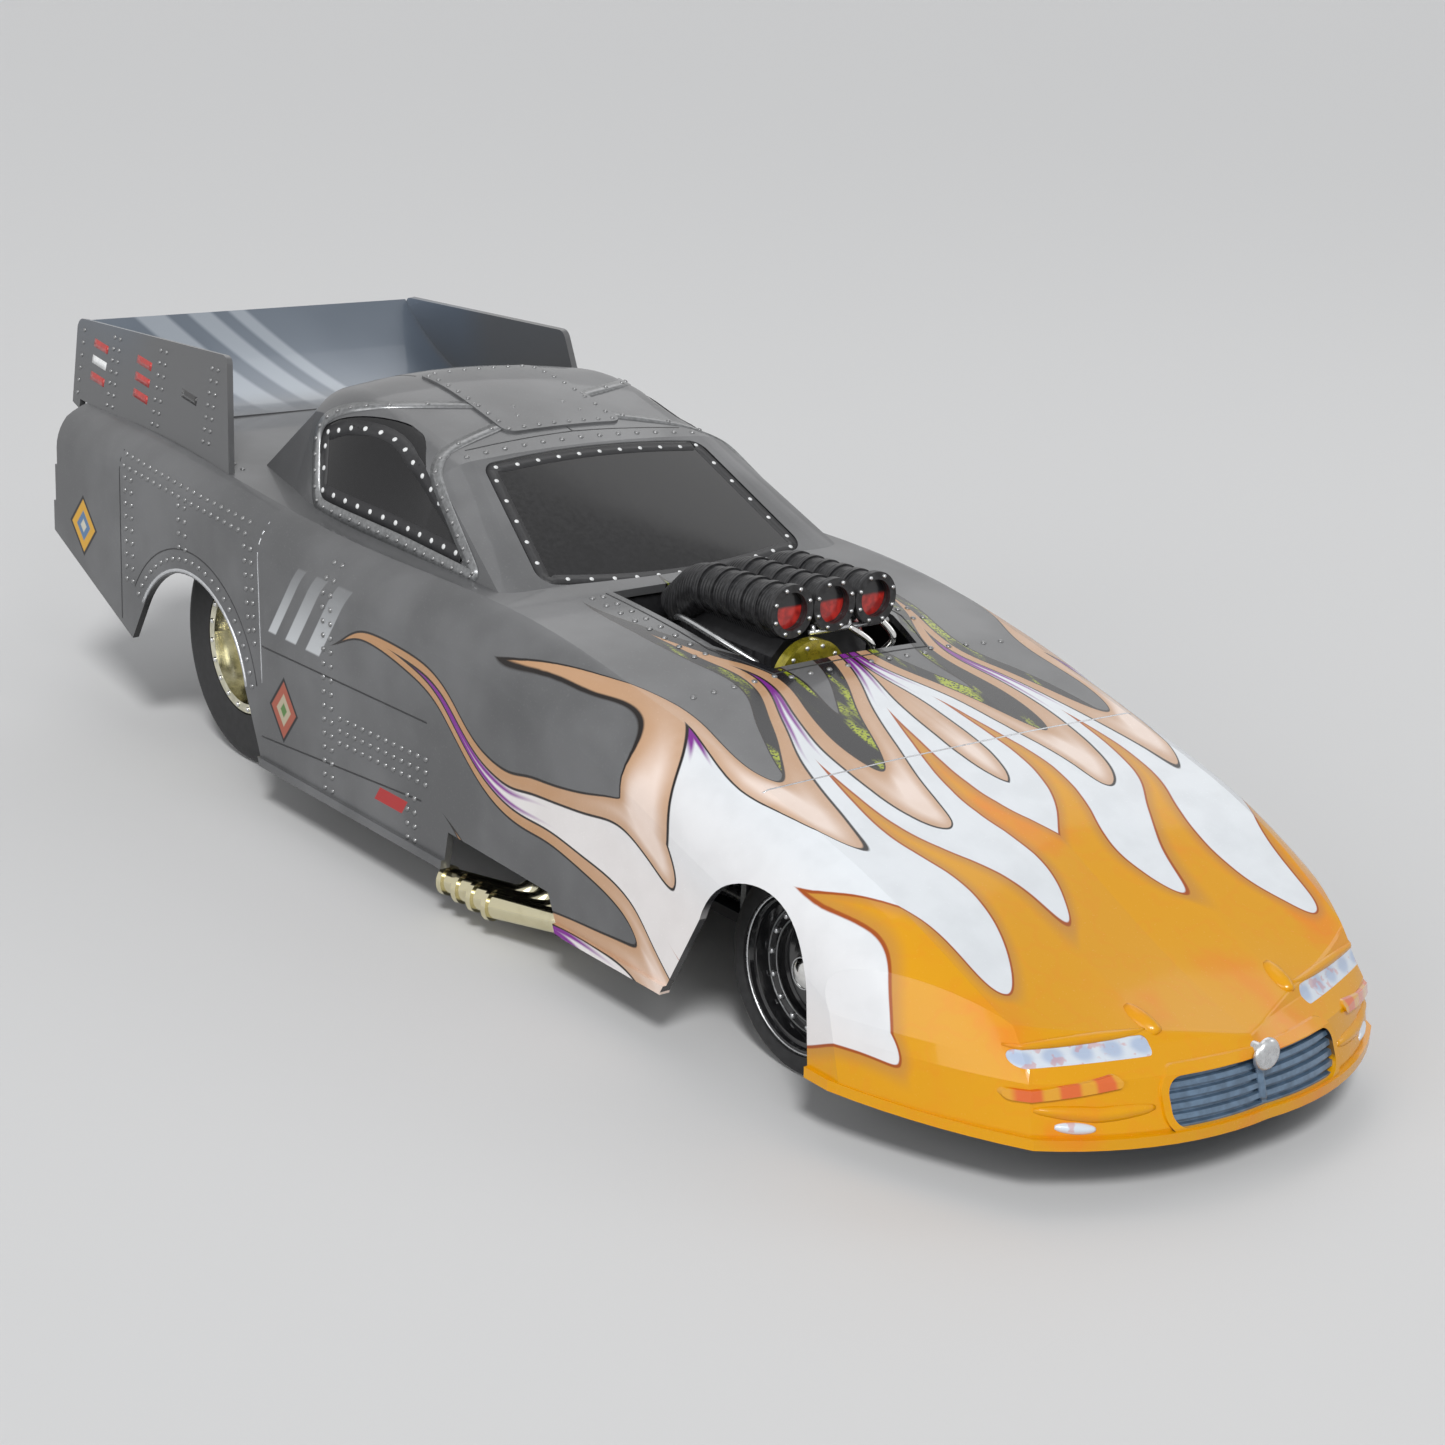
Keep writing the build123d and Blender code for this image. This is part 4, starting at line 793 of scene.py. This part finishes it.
REAR_ARCH = arc((49.6, 12.0), (65.8, 24.8), (80.8, 16.7))
ARCH_RIVETS_OUT = 2.2
# Lines round the rear arch: name, distance out from it, width, lift and look. The pale strip at the arch's
# lip is a painted highlight; the line further out is a dark seam
ARCH_LINES = (("arch_edge_highlight", 0.45, 0.5, 0.12, "painted_highlight"), ("arch_line", 3.7, 0.2, 0.03, "seam"))
SIDE_WINDOW = [(45.0, 40.3), (3.8, 39.2)] + arc((26.0, 51.4), (39.0, 53.5), (49.3, 49.7), 10)
# The band round the window keeps above the shoulder's roll
WINDOW_BAND = [Vector((p.x, max(p.y, 38.6 + p.x * 0.027))) for p in grown(SIDE_WINDOW, 1.25)]
BAND_LIFT = 0.24
for side, side_name in SIDES:
    row_spots = []
    for row in SIDE_RIVET_ROWS:
        row_spots += laid("side", row, RIVET_PITCH, side)
    row_spots += laid("side", grown(REAR_ARCH, ARCH_RIVETS_OUT, closed=False), RIVET_PITCH, side)
    rivets(f"side_rivets_{side_name}", row_spots, RIVET_RADIUS, RIVET_HEIGHT)
    for index, seam in enumerate(SIDE_SEAMS):
        # The first side seam, at the door's rear edge, is a pale strip painted as the highlight along that
        # edge; the others are dark seams
        look = "painted_highlight" if index == 0 else "seam"
        ribbon(f"side_seam_{index}_{side_name}", laid("side", seam, 1.5, side), 0.24, 0.03, look)
    for name, out, width, lift, look in ARCH_LINES:
        spots = laid("side", grown(REAR_ARCH, out, closed=False), 1.0, side)
        ribbon(f"{name}_{side_name}", spots, width, lift, look)

    glass = f"side_window_{side_name}"
    border = laid("side", grown(SIDE_WINDOW, -1.5), 1.0, side, glass, closed=True)
    ribbon(f"window_border_{side_name}", border, 2.2, 0.04, "black", closed=True)
    dots = laid("side", grown(SIDE_WINDOW, -1.6), 3.2, side, glass, closed=True)
    rivets(f"window_dots_{side_name}", dots, 0.42, 0.2, "white")
    band = softened(laid("side", WINDOW_BAND, 0.8, side, closed=True))
    ribbon(f"window_band_{side_name}", band, 1.9, BAND_LIFT, "pale_band", closed=True)
    band_rivets = [(point + normal * BAND_LIFT * MM, normal) for point, normal in band[::3]]
    rivets(f"window_rivets_{side_name}", band_rivets, 0.38, 0.26)

# Windscreen, roof and hood, as (x, y) points seen from above

WINDSHIELD_FOOT = arc((-23.2, -2.9), (0.0, -5.5), (23.2, -2.9), 16)
WINDSHIELD_HEAD = arc((19.2, 17.7), (0.0, 18.2), (-19.2, 17.7), 16)
SCREEN_BORDER = grown(WINDSHIELD_FOOT + WINDSHIELD_HEAD, -1.1)
HEAD_BAND = arc((-20.0, 20.2), (0.0, 20.8), (20.0, 20.2), 12)
ROOF_SEAMS = (
    ((-19.0, 22.2), (0.0, 22.9), (19.0, 22.2)),
    ((0.0, 22.9), (0.0, 24.6)),
    ((-10.0, 49.0), (-12.0, 58.0)),
    ((10.0, 49.0), (12.0, 58.0)),
)
HATCH = ((-9.4, 25.4), (9.4, 25.4), (9.4, 47.4), (-9.4, 47.4))
HOOD_RIVET_ROWS = (
    ((18.0, -10.0), (18.0, -32.0)),
    ((19.8, -10.0), (19.8, -32.0)),
    ((13.5, -40.5), (26.5, -40.5)),
    ((2.0, -41.5), (11.5, -41.5)),
)
DECK_RIVET_ROW = ((30.5, 64.0), (30.6, 108.0))
# Hood seams as points and look: the cross seam ahead of the hood opening is a pale strip painted as a
# highlight along it; the other is a dark seam
HOOD_SEAMS = (
    (((0.1, -62.0), (31.5, -60.5)), "painted_highlight"),
    (((16.8, -9.0), (16.8, -31.0), (13.2, -40.0), (0.0, -40.0)), "seam"),
)
screen_edge = laid("above", SCREEN_BORDER, 1.0, target="windshield", closed=True)
ribbon("windshield_border", screen_edge, 1.7, 0.04, "black", closed=True)
screen_dots = laid("above", SCREEN_BORDER, 3.6, target="windshield", closed=True)
rivets("windshield_dots", screen_dots, 0.36, 0.18, "white")
rivets("head_rivets", laid("above", HEAD_BAND, 3.4), 0.42, 0.28)
for index, line in enumerate(ROOF_SEAMS):
    ribbon(f"roof_seam_{index}", laid("above", line, 1.0), 0.22, 0.03, "seam")
rivets("hatch_rivets", laid("above", HATCH, 2.6, target="roof_hatch", closed=True), 0.36, 0.22)
for side, side_name in SIDES:
    hood_spots = []
    for row in HOOD_RIVET_ROWS:
        hood_spots += laid("above", row, 3.0, side)
    rivets(f"hood_rivets_{side_name}", hood_spots, 0.42, 0.24)
    rivets(f"deck_rivets_{side_name}", laid("above", DECK_RIVET_ROW, 2.6, side), 0.38, 0.24)
    for index, (line, look) in enumerate(HOOD_SEAMS):
        ribbon(f"hood_seam_{index}_{side_name}", laid("above", line, 0.6, side), 0.2, 0.05, look)

# Nose, as (x, z) runs seen from the front: name, run, pitch, width, lift, crown, look and slot
NOSE_LINES = (
    ("brow", ((11.3, 11.5), (12.0, 13.3)), 0.2, 2.6, 0.0, 0.8, "body", "body_paint"),
    ("lamp_lid", ((12.6, 11.95), (29.4, 11.9)), 0.5, 1.2, 0.0, 0.4, "body", "body_paint"),
    ("lower_ridge", ((15.6, 5.3), (22.0, 5.0), (28.4, 5.6)), 0.6, 1.8, 0.0, 0.5, "body", "body_paint"),
    ("fog_lamp", ((22.6, 3.5), (26.6, 3.8)), 0.25, 1.3, 0.02, 0.35, "lens", "lamp_glass"),
)
GRILLE_BAR = ((0.0, 3.4), (0.0, 7.4))
for side, side_name in SIDES:
    for name, run, pitch, width, lift, crown, look, slot in NOSE_LINES:
        spots = laid("front", run, pitch, side)
        ribbon(f"{name}_{side_name}", spots, width, lift, look, crown=crown, taper=True)
ribbon("grille_seam", laid("front", GRILLE_BAR, 0.4, target="grille"), 1.1, 0.02, "grille",
       crown=0.35)

# End plates: rivet columns as (y, foot, head) and plain slanted bars as (y, z, look)
PLATE_COLUMNS = ((69.5, 44.0, 55.0), (71.3, 44.0, 55.0), (85.5, 43.5, 54.8), (87.3, 43.5, 54.8),
                 (100.5, 43.5, 54.2), (102.3, 43.5, 54.2), (112.6, 43.6, 53.6))
PLATE_BARS = ((92.0, 52.0, "red"), (92.0, 49.4, "red"), (92.0, 46.8, "red"), (106.5, 52.0, "red"),
              (106.5, 49.4, "white"), (106.5, 46.8, "red"), (77.0, 49.5, "gloss"))
for side, side_name in SIDES:
    plate = f"spill_plate_{side_name}"
    spots = []
    for y, foot, head in PLATE_COLUMNS:
        spots += laid("side", ((y, head), (y, foot)), 1.9, side, plate)
    rivets(f"plate_rivets_{side_name}", spots, 0.36, 0.24)
    for index, (y, z, look) in enumerate(PLATE_BARS):
        bar = laid("side", ((y - 2.4, z - 0.2), (y + 2.4, z + 0.3)), 0.8, side, plate)
        ribbon(f"plate_bar_{index}_{side_name}", bar, 1.3, 0.03, look)

# Wheels: bolts, caps, bead lines, and painted highlight rings on the front rims' steps. The axles lie at (y,
# z) and the rims' faces at these x
FRONT_AXLE = (-66.0, 7.0)
FRONT_FACE_X = 28.4
REAR_AXLE = (66.0, 12.6)
REAR_FACE_X = 29.0
BOLT_HEAD = ((0.42, -0.3), (0.42, 0.22), (0.26, 0.34))
# Steps of the front rim, as radius and depth behind its face
FRONT_STEPS = ((8.15, 1.9), (6.85, 2.0))
FRONT_RIM_LINE = ((10.15, -0.3), (10.15, 0.08), (9.85, 0.1), (9.8, -0.3))
FRONT_CAP = ((2.2, -1.6), (2.2, -0.8), (1.9, -0.35), (1.2, 0.0), (0.3, 0.12))
REAR_CAP = ((2.9, -1.8), (2.9, -1.0), (2.4, -0.5), (1.6, -0.1), (0.4, 0.1))
RING_SIDES = 64


def turns(count, start=0.0):
    """Even angles round a circle."""
    return [math.tau * i / count + start for i in range(count)]


def bolt(size=1.0, depth=0.0):
    """Profile of a bolt head, set a depth behind its face."""
    return [(radius * size, along - depth) for radius, along in BOLT_HEAD]


for side, side_name in SIDES:
    body = f"front_wheel_{side_name}"
    face = over_datum(side * FRONT_FACE_X, *FRONT_AXLE)
    out = (side, 0, 0)
    lathe(f"front_bolts_{side_name}", bolt(depth=1.9), face, out, "silver", body, 8,
          turns(16), 7.45)
    # Thin pale rings at the front rim's steps are painted highlights, standing in for the glossy black rim's
    # reflections there
    for index, (radius, depth) in enumerate(FRONT_STEPS):
        ring = ((radius, -depth - 0.2), (radius, -depth + 0.06), (radius - 0.16, -depth + 0.06),
                (radius - 0.16, -depth - 0.2))
        lathe(f"front_step_highlight_{index}_{side_name}", ring, face, out, "cast", body, RING_SIDES,
              hollow=True)
    lathe(f"front_cap_{side_name}", FRONT_CAP, face, out, "chrome", body)
    lathe(f"front_rim_line_{side_name}", FRONT_RIM_LINE, face, out, "silver", body, RING_SIDES,
          hollow=True)
    face = over_datum(side * REAR_FACE_X, *REAR_AXLE)
    lathe(f"rear_ring_bolts_{side_name}", bolt(depth=0.1), face, out, "chrome", "rear_wheels", 8,
          turns(20), 9.9)
    lathe(f"rear_cap_{side_name}", REAR_CAP, face, out, "gold_chrome", "rear_wheels")
    lathe(f"rear_nuts_{side_name}", bolt(depth=2.6), face, out, "chrome", "rear_wheels", 6,
          turns(10, math.pi / 10), 3.9)

# Engine: barrel rim bolts, then bars and lines as name, points, radius, look and slot
BARREL_XS = (-7.2, 0.0, 7.2)
POST_XS = (-2.6, 3.6, 9.4)
ENGINE_LINES = [("linkage_rod", ((-3.4, -35.0, 37.9), (10.4, -35.0, 37.9)), 0.4, "silver", "chrome")]
ENGINE_LINES += [(f"linkage_post_{index}", ((x, -34.9, 38.9), (x, -35.0, 37.6)), 0.4, "silver", "chrome")
                 for index, x in enumerate(POST_XS)]
ENGINE_LINES += [
    ("linkage_arm_left", ((9.4, -35.0, 37.9), (10.6, -36.2, 35.4), (8.2, -34.2, 32.2)),
     0.5, "chrome", "chrome"),
    ("linkage_arm_middle", ((3.6, -35.0, 37.9), (6.4, -36.8, 35.2), (5.6, -34.2, 31.6)),
     0.5, "chrome", "chrome"),
    ("fuel_line_left", ((8.0, -33.0, 32.0), (10.8, -28.0, 36.0), (10.8, -18.0, 37.0), (8.0, -13.0, 35.0)),
     0.5, "red", "red_plastic"),
    ("fuel_line_right", ((-8.0, -32.0, 33.0), (-10.8, -26.0, 35.6), (-10.6, -18.0, 36.4),
                         (-8.0, -13.0, 34.8)), 0.45, "silver", "chrome"),
]
# Plug leads: they leave the magneto one above another and end at the plugs along each bank
LEAD_COUNT = 8
LEAD_RISE = 0.3
PLUG_FIRST_Y = -14.0
PLUG_PITCH = 5.6
for index in range(LEAD_COUNT):
    side = 1 if index % 2 else -1
    plug_y = PLUG_FIRST_Y - PLUG_PITCH * (index // 2)
    lead = ((side * 3.0, -10.6, 33.0 + LEAD_RISE * index), (side * 10.4, plug_y + 3.0, 31.0),
            (side * 14.4, plug_y, 26.0), (side * 14.2, plug_y - 0.6, 22.6))
    ENGINE_LINES.append((f"plug_lead_{index}", lead, 0.55, "gloss", "black_gloss"))
for index, x in enumerate(BARREL_XS):
    lathe(f"barrel_bolts_{index}", bolt(0.7), over_datum(x, -35.9, 41.5), (0, -1, 0.04), "silver", "chassis",
          6, turns(8, math.pi / 8), 3.05)
for name, points, radius, look, slot in ENGINE_LINES:
    rod(name, points, radius, look)
lathe("magneto", ((3.0, 0.0), (3.0, 3.4), (2.4, 4.0), (1.0, 4.2)), over_datum(0.0, -10.4, 30.6), (0, 0, 1),
      "gloss", "chassis", 20)
lathe("burst_clamp", ((1.6, 0.0), (1.6, 1.4), (1.1, 1.8), (0.4, 1.9)), over_datum(5.6, -12.0, 36.7),
      (0, 0, 1), "red", "chassis", 16)

# A black wall, painted shade, closes the gap between the firewall and the shell above it
SHADE_WALL_GAP = 0.5
SHADE_WALL_Y = (-8.4, -7.6)
SHADE_WALL_FOOT = 32.6
SHADE_WALL_STEPS = 18
SHADE_WALL_PITCH = 1.9


def firewall_shade_wall():
    """Black sheet between the firewall's top and the shell above it, put there as painted shade over the
    gap.
    """
    points, faces = [], []
    for index in range(SHADE_WALL_STEPS + 1):
        x = (index - SHADE_WALL_STEPS / 2) * SHADE_WALL_PITCH
        roof, _ = cast("body_shell", over_datum(x, sum(SHADE_WALL_Y) / 2, 30.0) * MM, (0, 0, 1))
        for z in ((SHADE_WALL_FOOT + RIDE_HEIGHT) * MM, roof.z - SHADE_WALL_GAP * MM):
            points += [Vector((x * MM, y * MM, z)) for y in SHADE_WALL_Y]
    for a in range(0, 4 * SHADE_WALL_STEPS, 4):
        b = a + 4
        faces += [(a, b, b + 2, a + 2), (a + 1, a + 3, b + 3, b + 1), (a + 2, b + 2, b + 3, a + 3),
                  (a, a + 1, b + 1, b)]
    last = 4 * SHADE_WALL_STEPS
    faces += [(0, 2, 3, 1), (last, last + 1, last + 3, last + 2)]
    add_piece("firewall_shade_wall", points, faces, "black", "chassis", smooth=False)


firewall_shade_wall()

# Harness over the seat, as (x, z) runs seen from the front, and its buckle
HARNESS = (
    ((2.4, 27.0), (2.0, 8.0)),
    ((-2.4, 27.0), (-2.0, 8.0)),
    ((-5.4, 7.4), (5.4, 7.4)),
)
for index, line in enumerate(HARNESS):
    spots = laid("front", line, 1.0, target="seat")
    ribbon(f"harness_{index}", spots, 1.3, 0.12, "strap", "chassis")
buckle_place = from_front("seat", 0.0, 7.4)[0] / MM
lathe("harness_buckle", ((1.1, 0.0), (1.1, 0.7), (0.8, 0.9)), buckle_place, (0, -1, 0), "silver", "chassis",
      16)

# Cap and bolts of the belt guard
GUARD_X, GUARD_Z = -4.0, 31.8
lathe("drive_cap", ((2.4, 0.0), (2.4, 0.5), (1.6, 1.0), (0.5, 1.2)), over_datum(GUARD_X, -37.8, GUARD_Z),
      (0, -1, 0), "chrome", "chassis", 20)
lathe("guard_bolts", bolt(0.8), over_datum(GUARD_X, -37.0, GUARD_Z), (0, -1, 0), "silver", "chassis",
      6, turns(12), 5.0)

# Parachute packs, crowned like packed cloth, with two straps each


PACK_SWELL = 0.12
PACK_CUTS = 6


def bulged(name, node):
    """Crowned cloth box in a node's place: its faces swell and its edges stay low."""
    low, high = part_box(node)
    centre = (low + high) / 2
    half = (high - low) / 2
    vertices, faces, seen = [], [], {}

    def vertex(direction):
        """Index of the crowned point in a direction, made once."""
        key = tuple(round(c, 4) for c in direction)
        if key not in seen:
            seen[key] = len(vertices)
            fullness = 1.0
            for c in direction:
                fullness *= 1.0 - PACK_SWELL * abs(c) ** 6
            vertices.append(centre + Vector([c * h * (1 - PACK_SWELL + PACK_SWELL * fullness) for c, h in
                                             zip(direction, half)]))
        return seen[key]

    for axis in range(3):
        for sign in (-1, 1):
            grid = []
            for i in range(PACK_CUTS + 1):
                line = []
                for j in range(PACK_CUTS + 1):
                    spot = [0.0, 0.0, 0.0]
                    spot[axis] = float(sign)
                    spot[(axis + 1) % 3] = sign * (2 * i / PACK_CUTS - 1)
                    spot[(axis + 2) % 3] = 2 * j / PACK_CUTS - 1
                    line.append(vertex(spot))
                grid.append(line)
            for i in range(PACK_CUTS):
                for j in range(PACK_CUTS):
                    faces.append((grid[i][j], grid[i + 1][j], grid[i + 1][j + 1], grid[i][j + 1]))
    piece = add_piece(name, vertices, faces, "pack", "chassis")
    smooth = piece.modifiers.new("smooth", "SUBSURF")
    smooth.levels = smooth.render_levels = 2
    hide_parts(node)


STRAP_SHARES = (0.3, 0.7)
STRAP_CORNERS = ((-0.9, -0.99), (0.9, -0.99), (0.99, -0.9), (0.99, 0.9), (0.9, 0.99), (-0.9, 0.99),
                 (-0.99, 0.9), (-0.99, -0.9))
for _, side_name in SIDES:
    node = f"parachute_pack_{side_name}"
    bulged(f"pack_{side_name}", node)
    low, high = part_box(node)
    half = (high - low) / 2
    for index, share in enumerate(STRAP_SHARES):
        middle = Vector((low.x + half.x, low.y + half.y, low.z + (high.z - low.z) * share))
        ring = [middle + Vector((dx * half.x, dy * half.y, 0.0)) for dx, dy in STRAP_CORNERS]
        spots = [(point, (point - middle).normalized()) for point in ring]
        ribbon(f"pack_strap_{index}_{side_name}", spots, 1.4, 0.05, "strap", "chassis",
               closed=True)

# Stage. Suns: name, where the light comes from, strength, softness in degrees
SUNS = (
    ("key", (-0.5, -0.6, 0.85), 1.7, 12.0),
    ("fill", (-1.0, -0.1, 0.35), 0.9, 40.0),
    ("back", (0.7, 0.6, 0.8), 0.3, 40.0),
)
# Soft boxes that show as highlights in gloss and metal: name, place, size, power
SOFTBOXES = (
    ("box_front", (-0.25, -0.55, 0.45), 0.14, 0.4),
    ("box_right", (0.55, -0.25, 0.4), 0.25, 0.3),
    ("box_top", (0.0, 0.1, 0.75), 0.3, 0.3),
)
SKY = (0.82, 0.84, 0.87)
SKY_STRENGTH = 0.33
FLOOR_SIZE = 12.0


def add_world():
    """Even sky light, with the pale backdrop where it is seen straight, mirrored or through glass."""
    world = bpy.data.worlds.new("studio")
    scene.world = world
    world.use_nodes = True
    tree = world.node_tree
    sky = tree.nodes["Background"]
    sky.inputs["Color"].default_value = (*SKY, 1.0)
    sky.inputs["Strength"].default_value = SKY_STRENGTH
    backdrop = tree.nodes.new("ShaderNodeBackground")
    backdrop.inputs["Color"].default_value = (*PALE_BACKDROP, 1.0)
    choose = tree.nodes.new("ShaderNodeMixShader")
    rays = tree.nodes.new("ShaderNodeLightPath")
    seen = most([Field(tree, rays.outputs[ray]) for ray in ("Is Camera Ray", "Is Glossy Ray",
                                                            "Is Transmission Ray")])
    tree.links.new(seen.socket, choose.inputs[0])
    tree.links.new(sky.outputs[0], choose.inputs[1])
    tree.links.new(backdrop.outputs[0], choose.inputs[2])
    tree.links.new(choose.outputs[0], tree.nodes["World Output"].inputs[0])


def add_floor():
    """Pale matt floor."""
    bpy.ops.mesh.primitive_plane_add(size=FLOOR_SIZE)
    floor = bpy.context.object
    floor.name = "floor"
    material = bpy.data.materials.new("floor")
    material.use_nodes = True
    shader = material.node_tree.nodes["Principled BSDF"]
    shader.inputs["Base Color"].default_value = (*PALE_BACKDROP, 1.0)
    shader.inputs["Roughness"].default_value = 0.9
    shader.inputs["Specular IOR Level"].default_value = 0.1
    floor.data.materials.append(material)


def add_light(name, kind, towards, energy, place=(0.0, 0.0, 0.0)):
    """Light that shines from its place, or from a direction, towards the car."""
    light = bpy.data.lights.new(name, kind)
    light.energy = energy
    light_object = bpy.data.objects.new(name, light)
    light_object.location = place
    light_object.rotation_euler = Vector(towards).to_track_quat("Z", "Y").to_euler()
    scene.collection.objects.link(light_object)
    return light


add_camera()
scene.view_settings.view_transform = "Standard"
add_world()
add_floor()
for name, source, strength, softness in SUNS:
    add_light(name, "SUN", source, strength).angle = math.radians(softness)
for name, place, size, power in SOFTBOXES:
    add_light(name, "AREA", place, power, place).size = size
